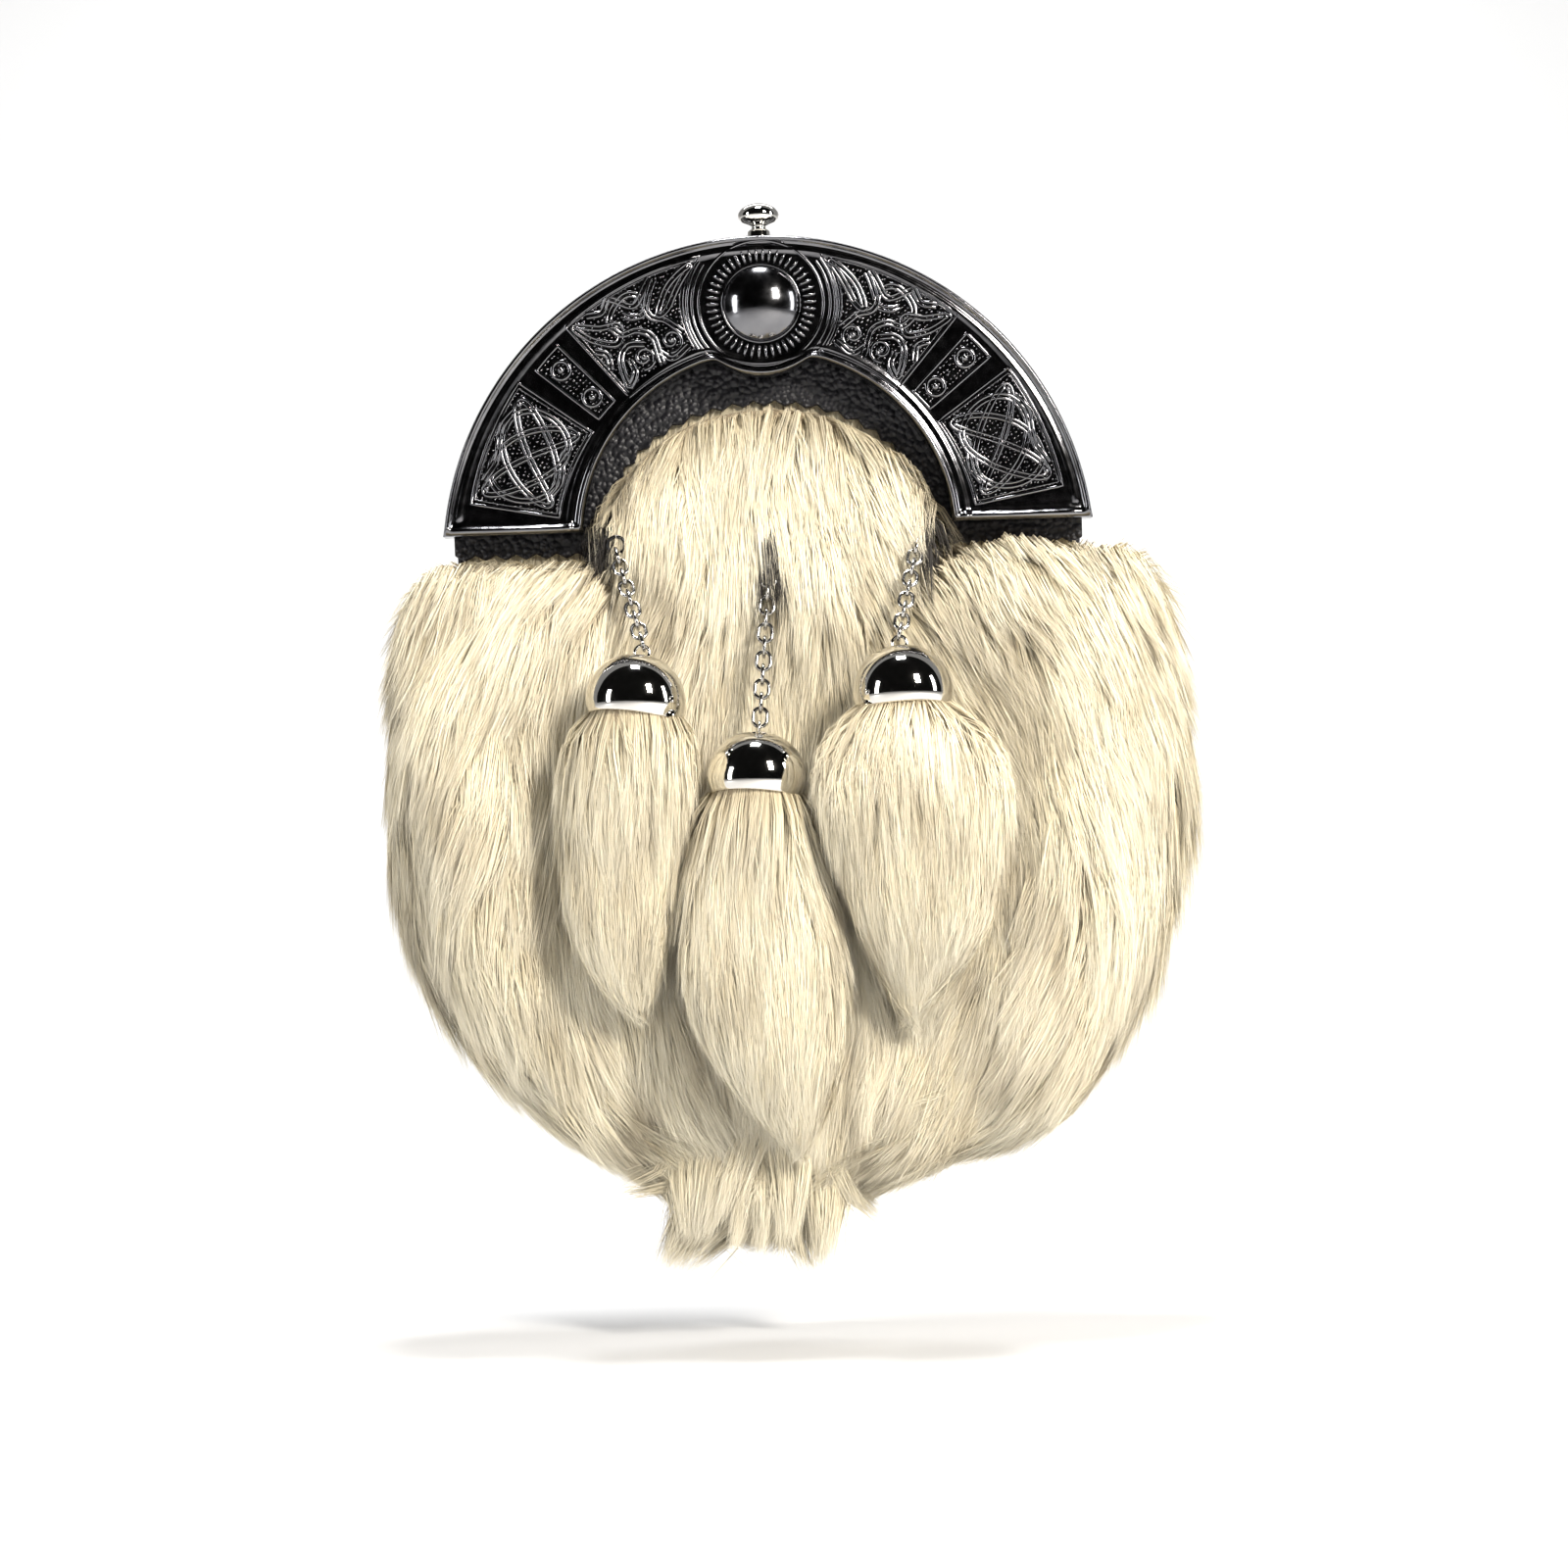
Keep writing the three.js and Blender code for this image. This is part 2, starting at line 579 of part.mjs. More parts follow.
function addChain(name, from, to) {
  const line = to.clone().sub(from);
  const slack = LINK.wire + LINK.gap;
  const count = linkCount(from, to);
  const pitch = (line.length() + slack) / count;
  const height = pitch + slack + LINK.wire;
  const along = line.normalize();
  const turn = new THREE.Quaternion().setFromUnitVectors(new THREE.Vector3(0, 0, -1), along);
  const first = (pitch + slack) / 2 - pitch;
  for (let index = 0; index < count; index += 1) {
    const link = addPiece(
      `chain_${name}_link_${String(index + 1).padStart(2, "0")}`,
      wireRing(LINK.width, height, LINK.wire, ROUND.link), FINISH.blackNickel,
    );
    link.position.copy(from).addScaledVector(along, index * pitch - first);
    link.quaternion.copy(turn);
    link.rotateZ(radians(index % 2 === 0 ? 90 : 0));
  }
}

// The rows of one tassel: neck rows in the cap, then its sections, each resting on the fur.
function tasselRows(tassel, mouthAhead, axis) {
  const rows = [0, 1].map((step) => {
    const along = -TASSEL_NECK.inside * (1 - step);
    return {
      x: tassel.mouth.x + axis.x * along, z: tassel.mouth.z + axis.z * along,
      ahead: mouthAhead - axis.y * along, halfWidth: TASSEL_NECK.radius, halfDepth: TASSEL_NECK.radius,
    };
  });
  tassel.sections.forEach((section) => {
    const halfWidth = section.width / 2;
    const halfDepth = Math.max(halfWidth * TASSEL_FLATNESS, Math.min(halfWidth, 5));
    const ahead = restingAhead(section.x, section.z, halfWidth, halfDepth);
    rows.push({ x: section.x, z: section.z, ahead, halfWidth, halfDepth });
  });
  return rows;
}

// How far ahead the middle of an oval section lies when it rests on the fur.
function restingAhead(x, z, halfWidth, halfDepth) {
  let ahead = 0;
  for (const share of [-0.9, -0.6, -0.3, 0, 0.3, 0.6, 0.9]) {
    const bulge = halfDepth * Math.sqrt(1 - share ** 2);
    ahead = Math.max(ahead, furAhead(x + share * halfWidth, z) + bulge);
  }
  return ahead + 3 * GAP;
}

function addTassel(tassel) {
  const lean = radians(CAP.lean);
  const roll = radians(tassel.roll);
  const axis = new THREE.Vector3(
    -Math.sin(roll) * Math.cos(lean), -Math.sin(lean), -Math.cos(roll) * Math.cos(lean),
  );
  const capRadius = Math.max(...CAP_PROFILE.map((row) => row.radius));
  const mouthAhead = restingAhead(tassel.mouth.x, tassel.mouth.z, capRadius, capRadius);
  const mouth = new THREE.Vector3(tassel.mouth.x, -mouthAhead, tassel.mouth.z);

  const start = tassel.chain;
  const staplePlace = new THREE.Vector3(
    start.x, -furAhead(start.x, start.z) - STAPLE.standoff, start.z,
  );
  const chainTop = staplePlace.clone().add(new THREE.Vector3(0, 0, -STAPLE.radius));
  const eyeTop = mouth.clone().addScaledVector(axis, -(CAP.eyeZ + CAP.eyeRadius));
  const ringSize = 2 * STAPLE.radius + STAPLE.wire;
  const staple = addPiece(
    `chain_staple_${tassel.name}`, wireRing(ringSize, ringSize, STAPLE.wire, ROUND.link),
    FINISH.blackNickel,
  );
  staple.position.copy(staplePlace);
  addChain(tassel.name, chainTop, eyeTop);

  const profile = CAP_PROFILE.map((row) => new THREE.Vector2(row.radius, row.z));
  const dome = new THREE.LatheGeometry(profile.reverse(), ROUND.cap);
  dome.rotateX(Math.PI / 2);
  const eyeSize = 2 * CAP.eyeRadius + CAP.eyeWire;
  const eye = wireRing(eyeSize, eyeSize, CAP.eyeWire, ROUND.link);
  const lastLinkFacesFront = linkCount(chainTop, eyeTop) % 2 === 0;
  eye.rotateZ(lastLinkFacesFront ? Math.PI / 2 : 0);
  eye.translate(0, 0, CAP.eyeZ);
  const cap = addPiece(`bell_cap_${tassel.name}`, toGeometry(joined([dome, eye])), FINISH.brightNickel);
  cap.position.copy(mouth);
  cap.quaternion.setFromUnitVectors(new THREE.Vector3(0, 0, -1), axis);

  const rows = tasselRows(tassel, mouthAhead, axis);
  const rings = rows.map((row) => Array.from({ length: ROUND.tassel }, (_, index) => {
    const turn = 2 * Math.PI * index / ROUND.tassel;
    return new THREE.Vector3(
      row.x + row.halfWidth * Math.cos(turn), -row.ahead + row.halfDepth * Math.sin(turn), row.z,
    );
  }));
  const first = rows[0];
  const last = rows[rows.length - 1];
  addPiece(`tassel_${tassel.name}`, lofted(
    rings, new THREE.Vector3(first.x, -first.ahead, first.z), new THREE.Vector3(last.x, -last.ahead, last.z - 2),
  ), FINISH.fur);

}

// ---- the strap loops on the back ----
function addStrapLoop(name, x) {
  const { foot, opening, depth, thickness, corner, width } = LOOP;
  const half = opening / 2;
  const outer = [
    [half + foot, 0], [half + foot, thickness], [half + thickness, thickness],
    [half + thickness, depth - corner + thickness], [half + thickness - corner, depth + thickness],
  ];
  const inner = [[half, 0], [half, depth - corner], [half - corner + LOOP.innerEase, depth]];
  const across = ([z, y]) => [-z, y];
  const outline = [
    ...outer, ...outer.map(across).reverse(), ...inner.map(across), ...[...inner].reverse(),
  ].map(([z, y]) => new THREE.Vector2(y + GAP, z));
  const geometry = new THREE.ExtrudeGeometry(new THREE.Shape(outline), { depth: width, bevelEnabled: false });
  geometry.translate(0, 0, -width / 2);
  geometry.applyMatrix4(new THREE.Matrix4().makeBasis(
    new THREE.Vector3(0, 1, 0), new THREE.Vector3(0, 0, 1), new THREE.Vector3(1, 0, 0),
  ));
  const loop = addPiece(name, geometry, FINISH.blackLeather);
  loop.position.set(x, 0, STRAP_LINE);
}

addBackPanel();
addGusset();
addFurFront();
addFrontLeather();
addCantle();
addPushButton();
TASSELS.forEach(addTassel);
addStrapLoop("strap_loop_left", -LOOP.x);
addStrapLoop("strap_loop_right", LOOP.x);

export default model;
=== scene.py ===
"""Dresses the full-dress sporran pouch: fur front, cast cantle, chains, bell caps and fur tassels.

Everything is in metres in the part's own frame: +Z up, the fur front faces -Y.
"""

import logging
import math
from collections.abc import Callable, Sequence
from dataclasses import dataclass, field
from enum import Enum

import bmesh
import bpy
import numpy as np
from mathutils import Matrix, Vector, geometry
from mathutils.bvhtree import BVHTree
from mathutils.kdtree import KDTree


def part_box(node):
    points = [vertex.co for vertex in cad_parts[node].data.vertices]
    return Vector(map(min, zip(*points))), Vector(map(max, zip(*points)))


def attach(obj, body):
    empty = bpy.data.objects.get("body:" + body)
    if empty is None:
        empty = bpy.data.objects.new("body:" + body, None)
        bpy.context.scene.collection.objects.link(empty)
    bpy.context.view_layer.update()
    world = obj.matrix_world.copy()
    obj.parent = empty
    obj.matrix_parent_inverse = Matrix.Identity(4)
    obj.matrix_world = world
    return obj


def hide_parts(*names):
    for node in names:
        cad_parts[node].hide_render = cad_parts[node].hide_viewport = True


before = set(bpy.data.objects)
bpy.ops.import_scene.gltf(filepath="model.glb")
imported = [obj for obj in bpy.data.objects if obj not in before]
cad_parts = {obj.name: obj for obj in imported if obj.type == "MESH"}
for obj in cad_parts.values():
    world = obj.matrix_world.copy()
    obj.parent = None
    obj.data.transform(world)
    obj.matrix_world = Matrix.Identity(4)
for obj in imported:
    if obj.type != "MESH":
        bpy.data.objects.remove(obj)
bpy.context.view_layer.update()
LOG = logging.getLogger("sporran")

MM = 0.001
SEED = 1746
BODY = "pouch"
BUTTON_BODY = "button"
FOOT_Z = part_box("cantle")[0].z  # the cantle's foot line
STAPLES = [sum(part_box(f"chain_staple_{side}"), Vector()) / 2 for side in ("left", "middle", "right")]


class Slot(str, Enum):
    """The record's material slots."""

    FUR = "cream_fur"
    LEATHER = "black_leather"
    BLACK_NICKEL = "black_nickel"
    BRIGHT_NICKEL = "bright_nickel"


class Side(Enum):
    """The two mirrored halves of the cantle."""

    LEFT = -1
    RIGHT = 1


# ---------------------------------------------------------------- materials


class Shader:
    """A node tree being built for one finish."""

    def __init__(self, name: str) -> None:
        """Starts an empty material.

        Args:
            name: the material's name.
        """
        self.material = bpy.data.materials.new(name)
        self.material.use_nodes = True
        self.tree = self.material.node_tree
        self.bsdf = self.tree.nodes["Principled BSDF"]

    def node(self, kind: str, **values: object) -> bpy.types.Node:
        """Adds a node.

        Args:
            kind: the node's type name.
            values: attributes, or socket values where the name is a socket's.

        Returns:
            The new node.
        """
        made = self.tree.nodes.new(kind)
        for key, value in values.items():
            socket = key.replace("_", " ")
            if hasattr(made, key):
                setattr(made, key, value)
            else:
                made.inputs[socket].default_value = value
        return made

    def link(self, source: bpy.types.NodeSocket, target: bpy.types.NodeSocket) -> None:
        """Links two sockets."""
        self.tree.links.new(source, target)

    def set(self, socket: str, value: float | tuple) -> None:
        """Sets one of the surface's own constants."""
        self.bsdf.inputs[socket].default_value = value

    def place(self) -> bpy.types.NodeSocket:
        """Gives the object coordinates."""
        return self.node("ShaderNodeTexCoord").outputs["Object"]

    def noise(self, scale: float, detail: float = 3.0, stretch: tuple = (1, 1, 1)) -> bpy.types.NodeSocket:
        """Adds a noise pattern.

        Args:
            scale: repeats per metre.
            detail: octaves.
            stretch: scale along each axis.

        Returns:
            The pattern's value, about 0 to 1.
        """
        mapping = self.node("ShaderNodeMapping")
        mapping.inputs["Scale"].default_value = stretch
        self.link(self.place(), mapping.inputs["Vector"])
        made = self.node("ShaderNodeTexNoise", Scale=scale, Detail=detail)
        self.link(mapping.outputs[0], made.inputs["Vector"])
        return made.outputs["Fac"]

    def ramp(self, value: bpy.types.NodeSocket, stops: Sequence[tuple[float, tuple]]) -> bpy.types.NodeSocket:
        """Turns a value into a colour.

        Args:
            value: what is read.
            stops: positions and colours.

        Returns:
            The colour.
        """
        made = self.node("ShaderNodeValToRGB")
        elements = made.color_ramp.elements
        while len(elements) < len(stops):
            elements.new(0.5)
        for element, (position, colour) in zip(elements, stops):
            element.position = position
            element.color = (*colour, 1)
        self.link(value, made.inputs["Fac"])
        return made.outputs["Color"]

    def mix(self, share: bpy.types.NodeSocket, first: object, second: object, blend: str = "MIX") -> bpy.types.NodeSocket:
        """Mixes two colours.

        Args:
            share: how much of the second.
            first: a socket or a colour.
            second: a socket or a colour.
            blend: the blend type.

        Returns:
            The mixed colour.
        """
        made = self.node("ShaderNodeMix", data_type="RGBA", blend_type=blend)
        for index, value in ((6, first), (7, second)):
            if isinstance(value, bpy.types.NodeSocket):
                self.link(value, made.inputs[index])
            else:
                made.inputs[index].default_value = (*value, 1)
        self.link(share, made.inputs[0])
        return made.outputs[2]

    def bump(self, height: bpy.types.NodeSocket, distance: float, strength: float = 1.0) -> None:
        """Raises the surface by a height pattern.

        Args:
            height: the pattern.
            distance: the height of 1, in metres.
            strength: how strongly it shows.
        """
        made = self.node("ShaderNodeBump", Distance=distance, Strength=strength)
        previous = self.bsdf.inputs["Normal"].links
        if previous:
            self.link(previous[0].from_socket, made.inputs["Normal"])
        self.link(height, made.inputs["Height"])
        self.link(made.outputs[0], self.bsdf.inputs["Normal"])


@dataclass(frozen=True)
class FurFinish:
    """Cream rabbit fur, read along each hair from root to tip."""

    name: str = "cream_fur_pile"
    root: tuple = (0.46, 0.36, 0.21)
    shaft: tuple = (0.74, 0.64, 0.44)
    tip: tuple = (0.90, 0.81, 0.59)
    pale: tuple = (0.95, 0.90, 0.76)
    smoke: tuple = (0.46, 0.385, 0.26)
    # dark: painted shade, laid on the hairs round each chain's staple where the fur's hollow would be in shadow.
    dark: tuple = (0.03, 0.025, 0.02)

    def make(self) -> bpy.types.Material:
        """Builds the hair material.

        Returns:
            A material that reads the hair's own map.
        """
        shader = Shader(self.name)
        strand = shader.node("ShaderNodeUVMap", uv_map="strand")
        split = shader.node("ShaderNodeSeparateXYZ")
        shader.link(strand.outputs[0], split.inputs[0])
        along = split.outputs["Y"]
        tone = split.outputs["X"]
        warm = shader.ramp(along, [(0.0, self.root), (0.4, self.shaft), (1.0, self.tip)])
        light = shader.ramp(along, [(0.0, self.shaft), (0.4, self.tip), (1.0, self.pale)])
        hair = shader.mix(tone, warm, light)
        patches = shader.ramp(shader.noise(60, 3, (1.7, 1.0, 0.5)), [(0.46, (0, 0, 0)), (0.74, (0.68,) * 3)])
        hair = shader.mix(patches, hair, self.smoke)
        # Tones near 0 take the dark colour: painted shade round each chain's staple.
        painted_staple_shade = shader.ramp(tone, [(0.03, (1, 1, 1)), (0.1, (0, 0, 0))])
        shader.link(shader.mix(painted_staple_shade, hair, self.dark), shader.bsdf.inputs["Base Color"])
        shader.set("Roughness", 0.62)
        shader.set("Specular IOR Level", 0.28)
        shader.set("Sheen Weight", 0.12)
        return shader.material


@dataclass(frozen=True)
class UndercoatFinish:
    """The short dense wool and hide under the guard hairs."""

    name: str = "fur_undercoat"
    deep: tuple = (0.20, 0.155, 0.10)
    wool: tuple = (0.46, 0.38, 0.26)

    def make(self) -> bpy.types.Material:
        """Builds the undercoat material."""
        shader = Shader(self.name)
        streaks = shader.noise(900, 4, (1, 1, 0.12))
        shader.link(
            shader.ramp(streaks, [(0.3, self.deep), (0.7, self.wool)]), shader.bsdf.inputs["Base Color"]
        )
        shader.bump(streaks, 0.6 * MM)
        shader.set("Roughness", 0.9)
        shader.set("Specular IOR Level", 0.15)
        return shader.material


@dataclass(frozen=True)
class LeatherFinish:
    """Black leather with a pebbled grain."""

    name: str = "black_leather"
    grain: float = 760.0
    relief: float = 0.7 * MM
    dark: tuple = (0.006, 0.006, 0.008)
    worn: tuple = (0.02, 0.019, 0.023)
    gloss: float = 0.36

    def make(self) -> bpy.types.Material:
        """Builds the leather material."""
        shader = Shader(self.name)
        pebbles = shader.node("ShaderNodeTexVoronoi", Scale=self.grain)
        pebbles.feature = "SMOOTH_F1"
        pebbles.inputs["Smoothness"].default_value = 0.35
        shader.link(shader.place(), pebbles.inputs["Vector"])
        height = shader.node("ShaderNodeMath", operation="MULTIPLY")
        height.inputs[1].default_value = -1.0
        shader.link(pebbles.outputs["Distance"], height.inputs[0])
        shader.bump(height.outputs[0], self.relief)
        shader.bump(shader.noise(5200, 2), 0.05 * MM, 0.6)
        colour = shader.ramp(pebbles.outputs["Distance"], [(0.1, self.worn), (0.6, self.dark)])
        shader.link(colour, shader.bsdf.inputs["Base Color"])
        rough = shader.ramp(shader.noise(300), [(0.3, (self.gloss,) * 3), (0.8, (self.gloss + 0.2,) * 3)])
        shader.link(rough, shader.bsdf.inputs["Roughness"])
        shader.set("Specular IOR Level", 0.4)
        return shader.material


@dataclass(frozen=True)
class NickelFinish:
    """Plated metal, either black or bright, with faint handling marks."""

    name: str
    colour: tuple
    dull: tuple
    roughness: float
    wave: float = 0.0

    def make(self) -> bpy.types.Material:
        """Builds the plated metal."""
        shader = Shader(self.name)
        shader.set("Metallic", 1.0)
        cloud = shader.noise(120, 4)
        shader.link(
            shader.ramp(cloud, [(0.35, self.colour), (0.75, self.dull)]), shader.bsdf.inputs["Base Color"]
        )
        low, high = self.roughness * 0.7, self.roughness * 1.5
        rough = shader.ramp(shader.noise(420, 4), [(0.3, (low,) * 3), (0.75, (high,) * 3)])
        shader.link(rough, shader.bsdf.inputs["Roughness"])
        if self.wave:
            shader.bump(shader.noise(160, 2), self.wave)
        return shader.material


@dataclass(frozen=True)
class ThreadFinish:
    """Waxed black thread, twisted."""

    name: str = "waxed_thread"
    dark: tuple = (0.01, 0.01, 0.012)
    light: tuple = (0.06, 0.057, 0.055)

    def make(self) -> bpy.types.Material:
        """Builds the thread material."""
        shader = Shader(self.name)
        twist = shader.noise(3000, 2)
        shader.link(
            shader.ramp(twist, [(0.35, self.dark), (0.7, self.light)]), shader.bsdf.inputs["Base Color"]
        )
        shader.bump(twist, 0.1 * MM)
        shader.set("Roughness", 0.5)
        return shader.material


FUR = FurFinish().make()
UNDERCOAT = UndercoatFinish().make()
PEBBLED_LEATHER = LeatherFinish().make()
SMOOTH_LEATHER = LeatherFinish("black_back_leather", grain=1500, relief=0.12 * MM, gloss=0.45).make()
THREAD = ThreadFinish().make()
BLACK_NICKEL = NickelFinish("black_nickel", (0.21, 0.21, 0.22), (0.14, 0.14, 0.15), 0.12, 0.10 * MM).make()
# The staple rings' finish: black metal darkened further as painted shade of the hollow where each chain leaves the
# fur.
STAPLE_BLACK_PAINTED_SHADE = NickelFinish("staple_black_painted_shade", (0.05, 0.05, 0.052), (0.03, 0.03, 0.032), 0.3).make()
BRIGHT_NICKEL = NickelFinish("bright_nickel", (0.78, 0.76, 0.72), (0.68, 0.66, 0.62), 0.05).make()
CHAIN_NICKEL = NickelFinish("chain_nickel", (0.5, 0.49, 0.47), (0.36, 0.35, 0.34), 0.14).make()


# ---------------------------------------------------------------- making meshes


def finish_piece(obj: bpy.types.Object, slot: Slot, *nodes: str, body: str = BODY) -> bpy.types.Object:
    """Puts a piece on its body and hides the CAD nodes it stands for.

    Args:
        obj: the piece.
        slot: its material slot; not used.
        nodes: the CAD nodes it stands for.
        body: the body it moves with.

    Returns:
        The piece.
    """
    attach(obj, body)
    if nodes:
        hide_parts(*nodes)
    LOG.info("%s: %d faces", obj.name, len(obj.data.polygons))
    return obj


def to_object(name: str, bm: bmesh.types.BMesh, material: bpy.types.Material, smooth: bool = True) -> bpy.types.Object:
    """Turns a finished bmesh into an object at the origin.

    Args:
        name: the piece's name.
        bm: the mesh, which is freed.
        material: its finish.
        smooth: whether its faces are shaded smooth.

    Returns:
        The object.
    """
    mesh = bpy.data.meshes.new(name)
    for face in bm.faces:
        face.smooth = smooth
    bm.to_mesh(mesh)
    bm.free()
    mesh.materials.append(material)
    obj = bpy.data.objects.new(name, mesh)
    bpy.context.scene.collection.objects.link(obj)
    return obj


def applied(obj: bpy.types.Object) -> bpy.types.Object:
    """Applies an object's modifiers to its mesh.

    Args:
        obj: an object with modifiers.

    Returns:
        The same object, with none.
    """
    graph = bpy.context.evaluated_depsgraph_get()
    mesh = bpy.data.meshes.new_from_object(obj.evaluated_get(graph), depsgraph=graph)
    obj.modifiers.clear()
    obj.data = mesh
    return obj


def node_copy(node: str) -> bmesh.types.BMesh:
    """Copies a CAD node's mesh with its shared corners merged.

    Args:
        node: the node's name.

    Returns:
        A closed bmesh.
    """
    bm = bmesh.new()
    bm.from_mesh(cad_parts[node].data)
    bmesh.ops.remove_doubles(bm, verts=bm.verts, dist=0.002 * MM)
    return bm


def turned(bm: bmesh.types.BMesh, profile: Sequence[tuple[float, float]], place: Matrix, steps: int = 48) -> None:
    """Turns a profile round the Z axis of a place.

    Args:
        bm: the mesh it is added to.
        profile: radius and height in metres, starting and ending on the axis.
        place: where the turned form goes.
        steps: facets round it.
    """
    part = bmesh.new()
    corners = [part.verts.new((radius, 0, height)) for radius, height in profile]
    edges = [part.edges.new(pair) for pair in zip(corners, corners[1:])]
    bmesh.ops.spin(
        part, geom=corners + edges, cent=(0, 0, 0), axis=(0, 0, 1), angle=2 * math.pi, steps=steps, use_merge=True,
    )
    bmesh.ops.remove_doubles(part, verts=part.verts, dist=0.001 * MM)
    bmesh.ops.recalc_face_normals(part, faces=part.faces)
    add_part(bm, part, place)


def add_part(bm: bmesh.types.BMesh, part: bmesh.types.BMesh, place: Matrix | None = None) -> None:
    """Adds one mesh to another.

    Args:
        bm: the mesh that grows.
        part: the mesh that is added and freed.
        place: where it goes.
    """
    if place is not None:
        bmesh.ops.transform(part, matrix=place, verts=part.verts)
    mesh = bpy.data.meshes.new("part")
    part.to_mesh(mesh)
    part.free()
    bm.from_mesh(mesh)
    bpy.data.meshes.remove(mesh)


def add_wire(bm: bmesh.types.BMesh, points: Sequence[Vector], radius: float, closed: bool = True, sides: int = 1) -> None:
    """Adds a round wire along a line.

    Args:
        bm: the mesh that it is added to.
        points: the line.
        radius: the wire's radius.
        closed: whether the line is a loop.
        sides: the roundness of its section.
    """
    curve = bpy.data.curves.new("wire", "CURVE")
    curve.dimensions = "3D"
    curve.bevel_depth = radius
    curve.bevel_resolution = sides
    curve.use_fill_caps = not closed
    spline = curve.splines.new("POLY")
    spline.points.add(len(points) - 1)
    for target, point in zip(spline.points, points):
        target.co = (*point, 1)
    spline.use_cyclic_u = closed
    holder = bpy.data.objects.new("wire", curve)
    bpy.context.scene.collection.objects.link(holder)
    graph = bpy.context.evaluated_depsgraph_get()
    mesh = bpy.data.meshes.new_from_object(holder.evaluated_get(graph), depsgraph=graph)
    bm.from_mesh(mesh)
    bpy.data.objects.remove(holder)
    bpy.data.curves.remove(curve)
    bpy.data.meshes.remove(mesh)


def repeated(name: str, part: bmesh.types.BMesh, places: np.ndarray, material: bpy.types.Material) -> bpy.types.Object:
    """Joins many copies of a small form into one mesh.

    Args:
        name: the piece's name.
        part: the small form, which is freed.
        places: where each copy goes, as 4 by 4 matrices.
        material: its finish.

    Returns:
        The joined object.
    """
    part.verts.ensure_lookup_table()
    corners = np.array([(*vert.co, 1.0) for vert in part.verts])
    faces = [[vert.index for vert in face.verts] for face in part.faces]
    count = len(corners)
    points = np.einsum("nij,vj->nvi", places, corners)[:, :, :3].reshape(-1, 3)
    loops = np.concatenate([np.array(face) for face in faces])
    sizes = np.array([len(face) for face in faces])
    shifts = (np.arange(len(places)) * count)[:, None]
    part.free()
    return mesh_from_arrays(
        name, points, (loops[None, :] + shifts).ravel(), np.tile(sizes, len(places)), material,
    )


def mesh_from_arrays(
    name: str, points: np.ndarray, loops: np.ndarray, sizes: np.ndarray, material: bpy.types.Material,
    strand_map: np.ndarray | None = None,
) -> bpy.types.Object:
    """Makes an object from joined arrays.

    Args:
        name: the object's name.
        points: corner places.
        loops: the corners of every face in turn.
        sizes: how many corners each face has.
        material: its finish.
        strand_map: a map value for each corner of each face.

    Returns:
        The object.
    """
    mesh = bpy.data.meshes.new(name)
    mesh.vertices.add(len(points))
    mesh.vertices.foreach_set("co", points.astype(np.float32).ravel())
    mesh.loops.add(len(loops))
    mesh.loops.foreach_set("vertex_index", loops.astype(np.int32))
    mesh.polygons.add(len(sizes))
    mesh.polygons.foreach_set("loop_start", np.concatenate([[0], np.cumsum(sizes)[:-1]]).astype(np.int32))
    mesh.polygons.foreach_set("loop_total", sizes.astype(np.int32))
    mesh.polygons.foreach_set("use_smooth", np.ones(len(sizes), bool))
    if strand_map is not None:
        for layer in ("strand", "OFBake"):
            made = mesh.uv_layers.new(name=layer)
            made.data.foreach_set("uv", strand_map.astype(np.float32).ravel())
    mesh.update(calc_edges=True)
    mesh.validate()
    mesh.materials.append(material)
    obj = bpy.data.objects.new(name, mesh)
    bpy.context.scene.collection.objects.link(obj)
    return obj


# ---------------------------------------------------------------- fur


def ripple(points: np.ndarray, wavelength: float, rng: np.random.Generator, waves: int = 5) -> np.ndarray:
    """A smooth random field.

    Args:
        points: where it is read, N by 3.
        wavelength: about how far apart its crests are, in metres.
        rng: the source of its directions and phases.
        waves: how many waves are summed.

    Returns:
        A value of about -1 to 1 for each point.
    """
    total = np.zeros(len(points))
    for _ in range(waves):
        heading = rng.normal(size=3)
        heading /= np.linalg.norm(heading)
        length = wavelength * rng.uniform(0.7, 1.5)
        total += np.sin(points @ heading * (2 * math.pi / length) + rng.uniform(0, 2 * math.pi))
    return total / math.sqrt(waves)


def unit(vectors: np.ndarray) -> np.ndarray:
    """Scales vectors to length 1."""
    return vectors / np.maximum(np.linalg.norm(vectors, axis=1, keepdims=True), 1e-9)


@dataclass
class Coat:
    """How a stretch of fur grows."""

    hairs: int
    guides: int
    locks: int
    length: float = 22 * MM
    lift: float = 5 * MM
    width: float = 0.21 * MM
    depth: float = 4.5 * MM
    stiffness: float = 0.4
    clumping: float = 0.3
    locking: float = 0.22
    frizz: float = 0.45 * MM
    wander: float = 14.0
    profile: tuple = (0.0, 0.62, 0.95, 1.0)


